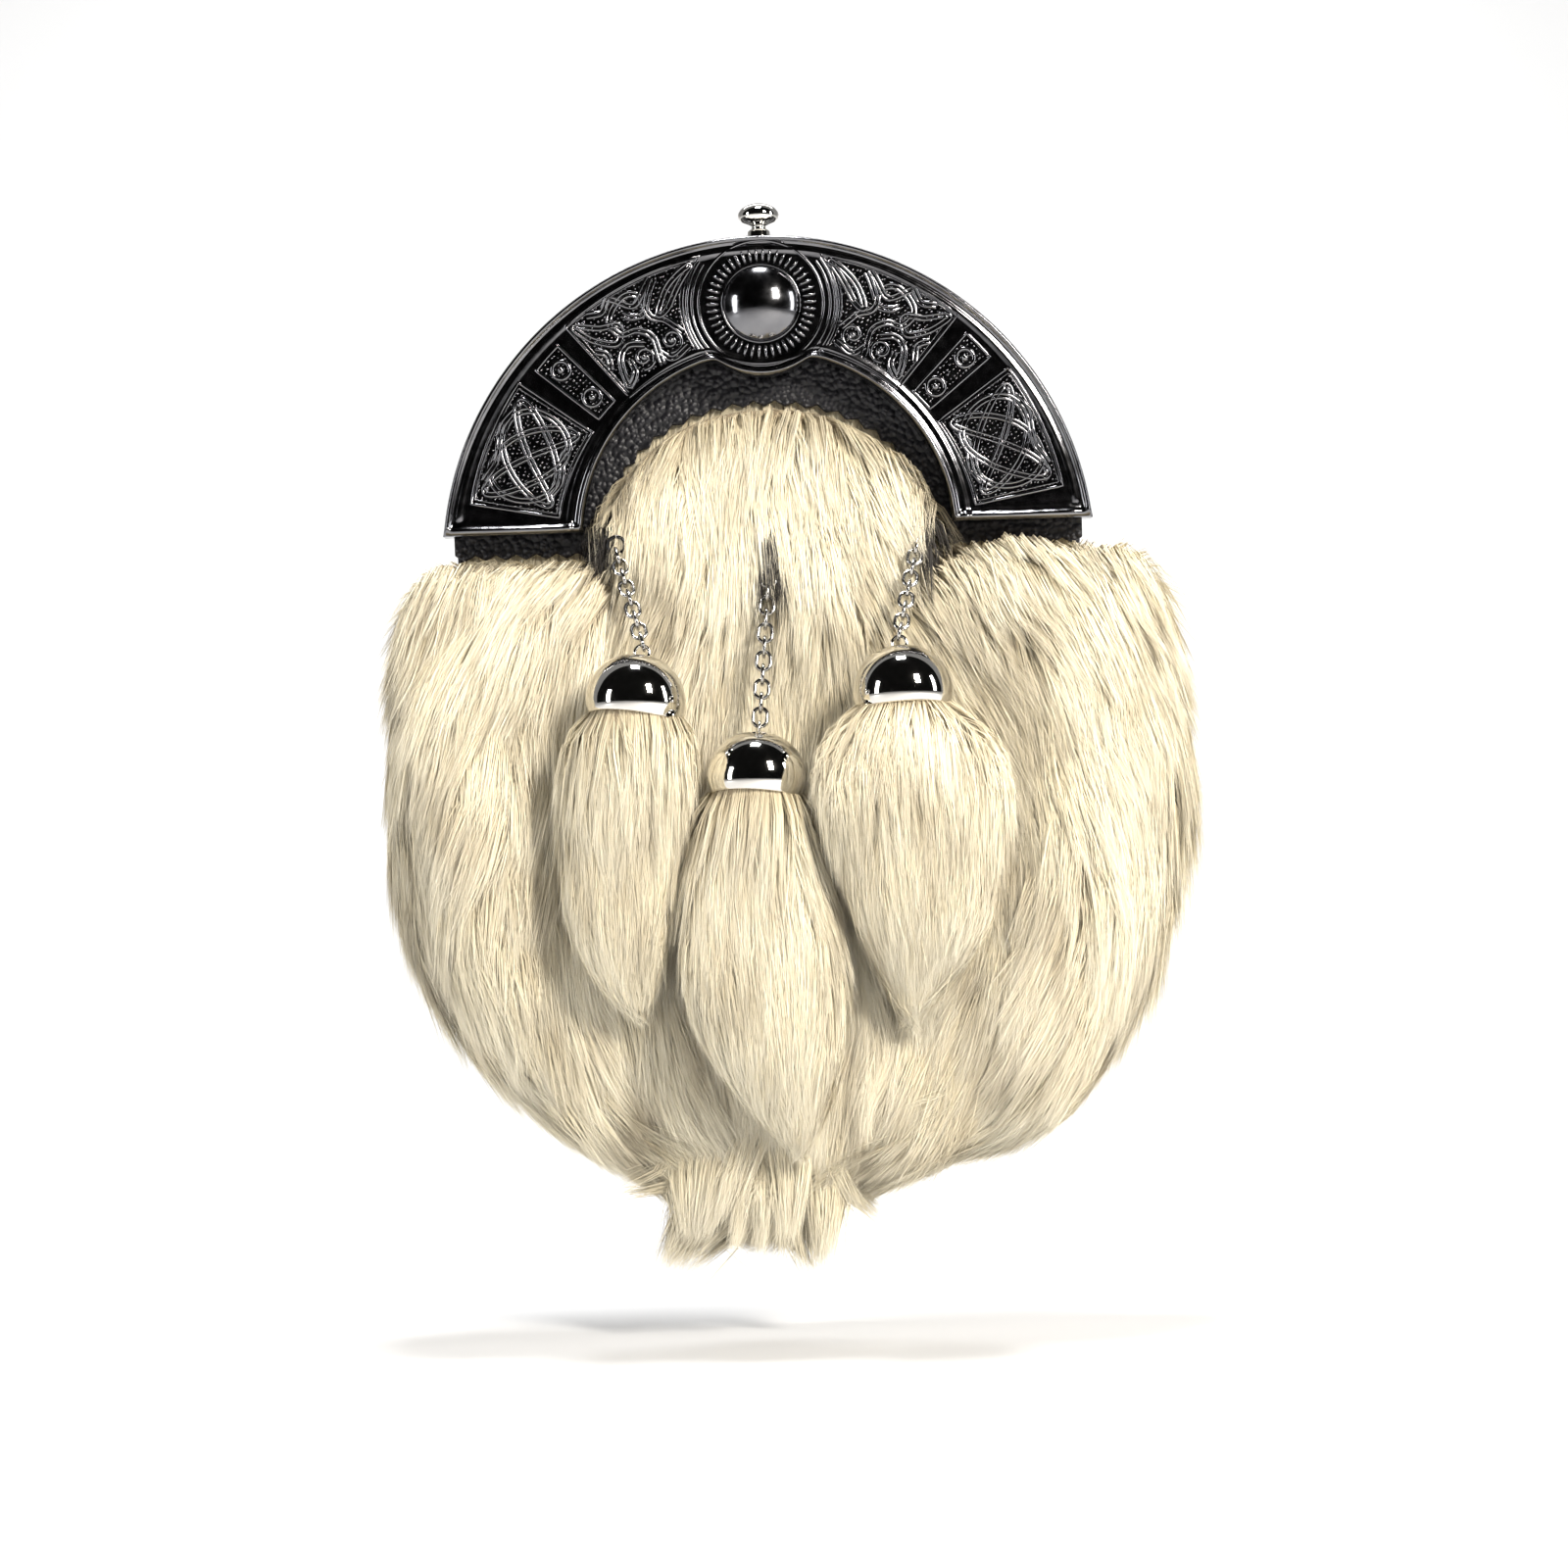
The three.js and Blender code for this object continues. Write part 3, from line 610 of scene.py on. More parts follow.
class Pelt:
    """Grows fur on a surface: guide hairs that follow the hide, and many hairs gathered round them."""

    def __init__(self, skin: bpy.types.Object, coat: Coat, lie: Callable, grows: Callable, seed: int) -> None:
        """Takes a skin and says how its fur lies.

        Args:
            skin: the surface that the roots stand on.
            coat: the fur's sizes.
            lie: gives the fur's direction, length factor and lift factor at points.
            grows: says which points of the skin carry fur.
            seed: makes the fur the same each time.
        """
        self.skin = skin
        self.coat = coat
        self.lie = lie
        self.grows = grows
        self.rng = np.random.default_rng(seed)
        mesh = skin.data
        mesh.calc_loop_triangles()
        self.places = np.zeros(len(mesh.vertices) * 3)
        mesh.vertices.foreach_get("co", self.places)
        self.places = self.places.reshape(-1, 3)
        self.normals = np.zeros(len(mesh.vertices) * 3)
        mesh.vertices.foreach_get("normal", self.normals)
        self.normals = self.normals.reshape(-1, 3)
        triangles = np.zeros(len(mesh.loop_triangles) * 3, np.int32)
        mesh.loop_triangles.foreach_get("vertices", triangles)
        self.triangles = triangles.reshape(-1, 3)
        self.tree = BVHTree.FromPolygons(self.places.tolist(), self.triangles.tolist())

    def painted_staple_shade(self, roots: np.ndarray) -> np.ndarray:
        """Finds the hairs round a chain's start that are painted dark, as painted shade of the hollow there.

        Args:
            roots: the hairs' roots.

        Returns:
            True for each hair that carries the painted shade.
        """
        near = np.zeros(len(roots), bool)
        for middle in STAPLES:
            away = roots - np.array(middle)
            near |= (away[:, 0] / (2.6 * MM)) ** 2 + ((away[:, 2] - 3 * MM) / (6.5 * MM)) ** 2 < 1
        return near

    def scatter(self, count: int) -> tuple[np.ndarray, np.ndarray]:
        """Spreads points evenly over the skin.

        Args:
            count: how many.

        Returns:
            Their places and outward normals.
        """
        corners = self.places[self.triangles]
        middles = corners.mean(axis=1)
        facing = np.cross(corners[:, 1] - corners[:, 0], corners[:, 2] - corners[:, 0])
        area = np.linalg.norm(facing, axis=1)
        area[~self.grows(middles, unit(facing))] = 0
        chosen = self.rng.choice(len(area), count, p=area / area.sum())
        first = self.rng.random(count)
        second = self.rng.random(count)
        over = first + second > 1
        first[over], second[over] = 1 - first[over], 1 - second[over]
        weights = np.stack([1 - first - second, first, second], axis=1)[:, :, None]
        points = (self.places[self.triangles[chosen]] * weights).sum(axis=1)
        normals = (self.normals[self.triangles[chosen]] * weights).sum(axis=1)
        return points, unit(normals)

    def guide_hairs(self) -> tuple[np.ndarray, np.ndarray]:
        """Grows the guide hairs along the skin.

        Returns:
            The guides' points, N by 4 by 3, and their root normals.
        """
        coat = self.coat
        points, normals = self.scatter(coat.guides)
        root_normals = normals.copy()
        heading, factor, raised = self.lie(points, normals)
        turn = np.radians(coat.wander) * (0.6 * ripple(points, 26 * MM, self.rng) + 0.6 * ripple(points, 9 * MM, self.rng))
        turn += np.radians(4) * self.rng.normal(size=len(points))
        sideways = unit(np.cross(normals, heading))
        heading = unit(heading * np.cos(turn)[:, None] + sideways * np.sin(turn)[:, None])
        length = coat.length * factor * self.rng.uniform(0.85, 1.1, len(points))
        rise = coat.lift * (1 + 0.35 * ripple(points, 22 * MM, self.rng)) * raised
        path = [points + normals * 0]
        here = points
        step = (length / 3)[:, None]
        along = heading
        for share in coat.profile[1:]:
            along = unit(along - normals * (along * normals).sum(axis=1, keepdims=True) * (1 - coat.stiffness))
            ahead = here + along * step
            found = [self.tree.find_nearest(point) for point in ahead]
            nearest = np.array([hit[0] for hit in found])
            facing = np.array([hit[1] for hit in found])
            here = nearest * (1 - coat.stiffness) + ahead * coat.stiffness
            normals = unit(normals * coat.stiffness + facing * (1 - coat.stiffness))
            path.append(here + normals * (rise * share)[:, None])
        return np.stack(path, axis=1), root_normals

    def gather(self, guides: np.ndarray) -> np.ndarray:
        """Draws the guides' tips together in locks.

        Args:
            guides: the guides' points.

        Returns:
            The drawn guides.
        """
        chosen = self.rng.choice(len(guides), self.coat.locks, replace=False)
        tree = KDTree(len(chosen))
        for index, guide in enumerate(chosen):
            tree.insert(guides[guide, 2], index)
        tree.balance()
        lock = np.array([chosen[tree.find(guide[2])[1]] for guide in guides])
        drawn = guides.copy()
        for level, share in ((1, 0.2), (2, 0.6), (3, 1.0)):
            pull = self.coat.locking * share
            drawn[:, level] += (guides[lock, level] - guides[:, level]) * pull
        return drawn

    def hairs(self) -> tuple[np.ndarray, np.ndarray, np.ndarray]:
        """Grows the hairs round the guides.

        Returns:
            The hairs' points, their root normals, and a tone for each: 0 is the painted shade round the chains'
            staples.
        """
        coat = self.coat
        guides, _ = self.guide_hairs()
        guides = self.gather(guides)
        roots, normals = self.scatter(coat.hairs)
        tree = KDTree(len(guides))
        for index, guide in enumerate(guides):
            tree.insert(guide[0], index)
        tree.balance()
        owner = np.array([tree.find(root)[1] for root in roots])
        own = guides[owner]
        offset = roots - own[:, 0]
        hairs = np.zeros((len(roots), 3, 3))
        hairs[:, 0] = roots
        spread = self.rng.normal(size=(len(roots), 3)) * coat.frizz
        stray = self.rng.random(len(roots)) < 0.04
        spread[stray] *= 4
        gathered = coat.clumping * self.rng.uniform(0.7, 1.15, len(roots))
        growth = self.rng.uniform(0.72, 1.08, len(roots))
        for level, taken, share in ((1, 1, 0.35), (2, 3, 1.0)):
            keep = (1 - gathered * share)[:, None]
            grown = own[:, 0] + (own[:, taken] - own[:, 0]) * growth[:, None]
            hairs[:, level] = grown + offset * keep + spread * share
        clump_tone = self.rng.random(len(guides))[owner]
        tone = 0.15 + 0.85 * np.clip(0.3 * clump_tone + 0.7 * self.rng.random(len(roots)), 0, 1)
        # Painted shade: the hairs round each chain's staple take tone 0, which the material paints near black.
        tone[self.painted_staple_shade(roots)] = 0.0
        return hairs, normals, tone

    def grow(self, name: str, material: bpy.types.Material) -> bpy.types.Object:
        """Makes the pile as one mesh of tapering blades.

        Args:
            name: the piece's name.
            material: the fur's finish.

        Returns:
            The pile.
        """
        hairs, normals, tone = self.hairs()
        count = len(hairs)
        along = unit(hairs[:, 2] - hairs[:, 0])
        across = unit(np.cross(along, normals))
        tilt = self.rng.uniform(-0.5, 0.5, count)[:, None]
        across = unit(across * np.cos(tilt) + np.cross(along, across) * np.sin(tilt))
        half = self.coat.width / 2 * self.rng.uniform(0.7, 1.25, count)[:, None]
        corners = [hairs[:, level] + across * half * edge for level in (0, 1) for edge in (-1, 1)]
        corners.append(hairs[:, 2])
        points = np.stack(corners, axis=1).reshape(-1, 3)
        blade = np.array([0, 1, 3, 2, 2, 3, 4])
        level_of = np.array([0, 0, 0.35, 0.35, 1])
        loops = (blade[None, :] + (np.arange(count) * 5)[:, None]).ravel()
        sizes = np.tile([4, 3], count)
        strand = np.stack([np.repeat(tone, len(blade)), np.tile(level_of[blade], count)], axis=1)
        return mesh_from_arrays(name, points, loops, sizes, material, strand)


def shrunk_skin(
    node: str, name: str, depth: float, levels: int, outer: Callable | None = None, draw: Callable | None = None,
) -> bpy.types.Object:
    """Makes the smooth skin that lies under the fur.

    Args:
        node: the CAD solid of the fur's outer form.
        name: the skin's name.
        depth: how far the skin lies under that form.
        levels: subdivisions.
        outer: says which corners are drawn in, given their places and normals.
        draw: gives the direction a corner is drawn from, or its normal if left out.

    Returns:
        The skin.
    """
    bm = node_copy(node)
    bm.normal_update()
    verts = list(bm.verts)
    places = np.array([vert.co for vert in verts])
    normals = np.array([vert.normal for vert in verts])
    drawn = np.ones(len(verts), bool) if outer is None else outer(places, normals)
    draw = draw or (lambda place, normal: normal)
    for vert, place, normal, moves in zip(verts, places, normals, drawn):
        if moves:
            vert.co = Vector(place - draw(place, normal) * depth)
    skin = to_object(name, bm, UNDERCOAT)
    modifier = skin.modifiers.new("smooth", "SUBSURF")
    modifier.levels = modifier.render_levels = levels
    return applied(skin)


@dataclass
class FurFront:
    """The pouch's fur front: its hide with the undercoat, and the pile in four stretches."""

    coat: Coat = field(default_factory=lambda: Coat(hairs=166000, guides=15000, locks=900))
    heart: Vector = field(default_factory=lambda: Vector((0, 0, FOOT_Z - 60 * MM)))
    # The lean of the fur away from straight down, in degrees, at heights below the cantle's foot.
    lean: tuple = (
        (30, 0), (5, 6), (-5, 36), (-18, 33), (-35, 23), (-60, 11), (-90, -6), (-112, -24), (-132, -42), (-148, -55), (-158, -25),
        (-175, 10),
    )

    def outer(self, places: np.ndarray, normals: np.ndarray) -> np.ndarray:
        """Says which places lie on the fur's outside.

        Args:
            places: points on the solid.
            normals: their outward normals.

        Returns:
            True for each that faces the front or away from the heart.
        """
        away = places - np.array(self.heart)
        away[:, 1] = 0
        sideways = (unit(away) * normals).sum(axis=1)
        front = normals[:, 1] < -0.25
        top = (normals[:, 2] > 0.2) & (places[:, 1] < -12 * MM)
        return (front | top | (sideways > 0.15)) & (places[:, 1] < -8 * MM)

    def draw(self, place: np.ndarray, normal: np.ndarray) -> np.ndarray:
        """The way the hide is drawn in: straight back where the leather trim covers its edge."""
        share = min(1.0, max(0.0, (FOOT_Z - place[2]) / (22 * MM)))
        back = np.array([0.0, min(normal[1], 0.0), 0.0]) * 0.6
        return back * (1 - share) + normal * share

    def lie(self, points: np.ndarray, normals: np.ndarray) -> tuple[np.ndarray, np.ndarray]:
        """The way the fur lies.

        Args:
            points: places on the skin.
            normals: their normals.

        Returns:
            A heading, a length factor and a lift factor for each.
        """
        height = (points[:, 2] - FOOT_Z) / MM
        rows = sorted(self.lean)
        lean = np.interp(height, [row[0] for row in rows], [row[1] for row in rows])
        across = points[:, 0] / (52 * MM)
        angle = np.radians(lean * np.tanh(across * 1.3))
        forward = -1.1 * np.clip(normals[:, 2], 0, 1)
        heading = unit(np.stack([np.sin(angle), forward, -np.cos(angle)], axis=1))
        factor = np.interp(height, [-175, -140, -60, 0, 30], [1.25, 1.05, 1.0, 0.9, 0.7])
        factor *= 1 + 0.12 * np.clip(np.abs(points[:, 0]) / (95 * MM), 0, 1)
        raised = np.interp(height, [-175, -140, -30, -8, 20, 32], [1.5, 1.0, 1.0, 1.35, 1.0, 0.6])
        for middle in STAPLES:
            away = np.hypot(points[:, 0] - middle.x, (points[:, 2] - middle.z - 7 * MM) / 2)
            raised *= 1 + 0.9 * np.exp(-((away / (4 * MM)) ** 2))
        return heading, factor, raised

    def tuft_grows(self, points: np.ndarray, normals: np.ndarray) -> np.ndarray:
        """Says where the ragged tuft at the foot of the front has its roots."""
        aside = np.abs(points[:, 0] + 7 * MM)
        low = points[:, 2] < FOOT_Z - 136 * MM - aside * 0.5
        return low & (aside < 20 * MM) & (points[:, 1] < -14 * MM)

    def tuft_lie(self, points: np.ndarray, normals: np.ndarray) -> tuple[np.ndarray, np.ndarray, np.ndarray]:
        """The way the tuft lies: down and a little apart, each lock its own way."""
        angle = np.radians(-8 + (points[:, 0] + 6 * MM) / MM * 1.6)
        heading = np.stack([np.sin(angle), -0.25 * np.ones(len(points)), -np.cos(angle)], axis=1)
        return unit(heading), np.full(len(points), 1.0), np.ones(len(points))

    def build(self) -> None:
        """Builds the hide and grows its pile."""
        skin = shrunk_skin("fur_front", "fur_undercoat", self.coat.depth, 2, self.outer, self.draw)
        finish_piece(skin, Slot.FUR, "fur_front")
        tuft = Coat(
            hairs=10000, guides=900, locks=24, length=24 * MM, lift=3 * MM, locking=0.7, clumping=0.35, wander=20.0,
            frizz=0.7 * MM, stiffness=0.85,
        )
        pelt = Pelt(skin, tuft, self.tuft_lie, self.tuft_grows, SEED + 9)
        finish_piece(pelt.grow("fur_tuft", FUR), Slot.FUR)
        stretches = {
            "fur_pile_arch": (lambda p: p[:, 2] > FOOT_Z - 42 * MM, 0.27),
            "fur_pile_left": (lambda p: (p[:, 2] <= FOOT_Z - 42 * MM) & (p[:, 0] < -20 * MM), 0.25),
            "fur_pile_right": (lambda p: (p[:, 2] <= FOOT_Z - 42 * MM) & (p[:, 0] > 20 * MM), 0.25),
            "fur_pile_middle": (lambda p: (p[:, 2] <= FOOT_Z - 42 * MM) & (abs(p[:, 0]) <= 20 * MM), 0.23),
        }
        for index, (name, (within, share)) in enumerate(stretches.items()):
            coat = Coat(
                hairs=int(self.coat.hairs * share), guides=int(self.coat.guides * share),
                locks=int(self.coat.locks * share),
            )
            pelt = Pelt(
                skin, coat, self.lie, lambda p, n, within=within: self.outer(p, n) & within(p), SEED + index,
            )
            finish_piece(pelt.grow(name, FUR), Slot.FUR)


@dataclass
class TrimFringe:
    """The fur that shows in the notches of the pinked trim: a strip of hide behind the trim's edge."""

    half_width: float = 40.3 * MM
    height: float = 36.3 * MM
    base: float = -6.0 * MM
    power: float = 2.15
    foot: float = -5.5 * MM
    reach: float = 73.5 * MM
    back: float = -10.4 * MM
    thick: float = 0.5 * MM
    above: float = 3.2 * MM
    below: float = 6.0 * MM

    def edge(self) -> list[tuple[Vector, Vector]]:
        """The trim's edge from left to right, with the direction away from the fur."""
        walk = []
        for turn in np.linspace(0.06, math.pi - 0.06, 56):
            cosine, sine = math.cos(turn), math.sin(turn)
            x = -math.copysign(abs(cosine) ** (2 / self.power), cosine) * self.half_width
            z = self.base + abs(sine) ** (2 / self.power) * self.height
            away = Vector((x / self.half_width, (z - self.base) / self.height)).normalized()
            walk.append((Vector((x, z)), away))
        up = Vector((0, 1))
        left = [(Vector((x, self.foot)), up) for x in np.linspace(-self.reach, -self.half_width - 2 * MM, 14)]
        right = [(Vector((-place.x, place.y)), up) for place, _ in reversed(left)]
        return [*left, *walk, *right]

    def build(self) -> None:
        """Builds the strip and its short hairs."""
        bm = bmesh.new()
        rows = []
        for place, away in self.edge():
            ends = (place + away * self.above, place, place - away * self.below)
            rows.append([bm.verts.new((end.x, self.back, FOOT_Z + end.y)) for end in ends])
        for row, after in zip(rows, rows[1:]):
            for level in (0, 1):
                bm.faces.new((row[level], row[level + 1], after[level + 1], after[level]))
        bmesh.ops.recalc_face_normals(bm, faces=bm.faces)
        if sum(face.normal.y for face in bm.faces) > 0:
            bmesh.ops.reverse_faces(bm, faces=bm.faces)
        made = bmesh.ops.extrude_face_region(bm, geom=bm.faces[:], use_keep_orig=True)
        for item in made["geom"]:
            if isinstance(item, bmesh.types.BMVert):
                item.co.y += self.thick
        bmesh.ops.recalc_face_normals(bm, faces=bm.faces)
        strip = to_object("fringe_hide", bm, UNDERCOAT, smooth=False)
        finish_piece(strip, Slot.FUR)
        coat = Coat(
            hairs=11000, guides=1500, locks=220, length=11 * MM, lift=1.6 * MM, clumping=0.2, locking=0.15,
            frizz=0.25 * MM, wander=9.0, width=0.24 * MM, stiffness=0.1,
        )
        pelt = Pelt(strip, coat, self.lie, lambda p, n: n[:, 1] < -0.5, SEED + 20)
        finish_piece(pelt.grow("fringe_pile", FUR), Slot.FUR)

    def lie(self, points: np.ndarray, normals: np.ndarray) -> tuple[np.ndarray, np.ndarray, np.ndarray]:
        """Straight down, short and close."""
        heading = np.tile([0.0, 0.0, -1.0], (len(points), 1))
        return heading, np.ones(len(points)), np.ones(len(points)) * 0.5


@dataclass
class Tassel:
    """One fur tassel with its bell cap and chain."""

    name: str
    roll: float
    hairs: int
    lean: float = 12.0
    cap_height: float = 15.4 * MM
    cap_radius: float = 11.7 * MM
    wall: float = 1.0 * MM
    eye_radius: float = 1.7 * MM
    eye_wire: float = 0.8 * MM
    stoutness: float = 1.3

    def axis_frame(self) -> Matrix:
        """The cap's own frame: +Z runs from its mouth to its eye."""
        lean, roll = math.radians(self.lean), math.radians(self.roll)
        down = Vector((-math.sin(roll) * math.cos(lean), -math.sin(lean), -math.cos(roll) * math.cos(lean)))
        return Vector((0, 0, -1)).rotation_difference(down).to_matrix().to_4x4()

    def cap_place(self) -> Matrix:
        """Where the middle of the cap's mouth is, with the cap's turn."""
        turn = self.axis_frame()
        back = turn.inverted()
        corners = np.array([back @ vert.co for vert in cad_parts[f"bell_cap_{self.name}"].data.vertices])
        low, high = corners.min(axis=0), corners.max(axis=0)
        middle = Vector(((low[0] + high[0]) / 2, (low[1] + high[1]) / 2, low[2]))
        return Matrix.Translation(turn @ middle) @ turn

    def build_cap(self) -> None:
        """Turns the domed cap and adds its eye."""
        radius, height, wall = self.cap_radius, self.cap_height, self.wall
        waist = 4.2 * MM
        outer = [
            (radius * math.cos(turn) ** 0.9, waist + (height - waist) * math.sin(turn))
            for turn in np.linspace(0, math.pi / 2, 18)
        ]
        rim = [
            (radius - 1.1 * MM * sink**2, waist * (1 - sink)) for sink in np.linspace(0.15, 1, 8)
        ] + [(radius - 1.5 * MM, -0.12 * MM)]
        inner = [
            ((radius - 1.9 * wall) * math.cos(turn), 0.5 * MM + (height - 2.2 * wall) * math.sin(turn))
            for turn in np.linspace(0, math.pi / 2, 10)
        ]
        profile = [(0, outer[-1][1]), *outer[-2::-1], *rim, *inner[:-1], (0, inner[-1][1])]
        bm = bmesh.new()
        place = self.cap_place()
        turned(bm, profile, place, 64)
        add_ring(bm, 2 * self.eye_radius, 2 * self.eye_radius, self.eye_wire / 2, self.eye_place(place))
        cap = to_object(f"bell_cap_{self.name}_polished", bm, BRIGHT_NICKEL)
        finish_piece(cap, Slot.BRIGHT_NICKEL, f"bell_cap_{self.name}")

    def eye_place(self, place: Matrix) -> Matrix:
        """Stands the eye up on the cap, turned to take the last link."""
        links = [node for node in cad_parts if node.startswith(f"chain_{self.name}_link")]
        quarter = math.pi / 2 if len(links) % 2 == 0 else 0.0
        return place @ Matrix.Translation((0, 0, self.cap_height + 0.9 * MM)) @ Matrix.Rotation(quarter, 4, "Z")

    def build_chain(self) -> None:
        """Makes every link smooth, each where its CAD link lies."""
        bm = bmesh.new()
        hidden = bmesh.new()
        links = sorted(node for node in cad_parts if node.startswith(f"chain_{self.name}_link"))
        staple = f"chain_staple_{self.name}"
        for node in (*links, staple):
            corners = np.array([vert.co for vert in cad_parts[node].data.vertices])
            middle = (corners.min(axis=0) + corners.max(axis=0)) / 2
            _, _, axes = np.linalg.svd(corners - corners.mean(axis=0))
            extent = np.ptp((corners - middle) @ axes.T, axis=0)
            wire = extent[2] / 2
            stout = wire * (1.0 if node == staple else self.stoutness)
            turn = Matrix((axes[1], axes[2], axes[0])).transposed().to_4x4()
            if turn.determinant() < 0:
                turn = turn @ Matrix.Scale(-1, 4, (1, 0, 0))
            ring = (extent[1] - 2 * wire, extent[0] - 2 * wire, stout, Matrix.Translation(middle) @ turn)
            add_ring(hidden if node == staple else bm, *ring)
        finish_piece(to_object(f"chain_{self.name}", bm, CHAIN_NICKEL), Slot.BLACK_NICKEL, *links)
        # The staple ring takes the near-black finish: black metal with painted shade of the fur's hollow round it.
        finish_piece(to_object(f"{staple}_ring", hidden, STAPLE_BLACK_PAINTED_SHADE), Slot.BLACK_NICKEL, staple)

    def build_fur(self) -> None:
        """Makes the tassel's core and grows its hairs to the tip."""
        node = f"tassel_{self.name}"
        mouth = self.cap_place().translation

        def draw(place: np.ndarray, normal: np.ndarray) -> np.ndarray:
            """Inwards, but outwards where the fur fills the cap's mouth."""
            return normal * np.interp((mouth.z - place[2]) / MM, [-4, 3, 10, 24], [-0.6, -1.6, -1.2, 1.0])

        core = shrunk_skin(node, f"tassel_core_{self.name}", 1.3 * MM, 2, draw=draw)
        finish_piece(core, Slot.FUR, node)
        points = np.array([vert.co for vert in core.data.vertices])
        tip = Vector(points[points[:, 2].argmin()])

        def lie(places: np.ndarray, normals: np.ndarray) -> tuple[np.ndarray, np.ndarray]:
            """Downwards, and in towards the tip lower down."""
            share = np.clip((mouth.z - places[:, 2]) / (mouth.z - tip.z), 0, 1)
            down = np.tile([0.0, 0.0, -1.0], (len(places), 1))
            inward = unit(np.array(tip) - places)
            heading = unit(down * (1 - 0.5 * share[:, None]) + inward * 0.5 * share[:, None])
            return heading, 1.0 - 0.3 * share, 1.0 + 0.9 * (1 - share) ** 2

        coat = Coat(
            hairs=self.hairs, guides=self.hairs // 14, locks=self.hairs // 260, length=21 * MM, lift=2.0 * MM,
            stiffness=0.22, clumping=0.25, locking=0.14, frizz=0.3 * MM, wander=5.0, width=0.19 * MM,
        )
        pelt = Pelt(core, coat, lie, lambda p, n: p[:, 2] < mouth.z + 3 * MM, SEED + len(self.name))
        finish_piece(pelt.grow(f"tassel_pile_{self.name}", FUR), Slot.FUR)

    def build(self) -> None:
        """Builds the chain, the cap and the fur."""
        self.build_chain()
        self.build_cap()
        self.build_fur()


def add_ring(
    bm: bmesh.types.BMesh, width: float, height: float, wire: float, place: Matrix, steps: int = 24,
) -> None:
    """Adds a closed ring of wire, with straight sides where it is longer than wide.

    Args:
        bm: the mesh that it is added to.
        width: the ring's width between its wire's middles.
        height: its length between its wire's middles.
        wire: the wire's radius.
        place: where it goes: the ring lies in its XZ plane.
        steps: facets round the ring.
    """
    part = bmesh.new()
    bmesh.ops.create_circle(part, segments=8, radius=wire, matrix=Matrix.Translation((width / 2, 0, 0)))
    bmesh.ops.spin(
        part, geom=part.verts[:] + part.edges[:], cent=(0, 0, 0), axis=(0, 1, 0), angle=2 * math.pi, steps=steps,
        use_merge=True,
    )
    bmesh.ops.remove_doubles(part, verts=part.verts, dist=0.001 * MM)
    straight = max(0.0, (height - width) / 2)
    for vert in part.verts:
        vert.co.z += math.copysign(straight, vert.co.z)
    bmesh.ops.recalc_face_normals(part, faces=part.faces)
    add_part(bm, part, place)


# ---------------------------------------------------------------- the cantle


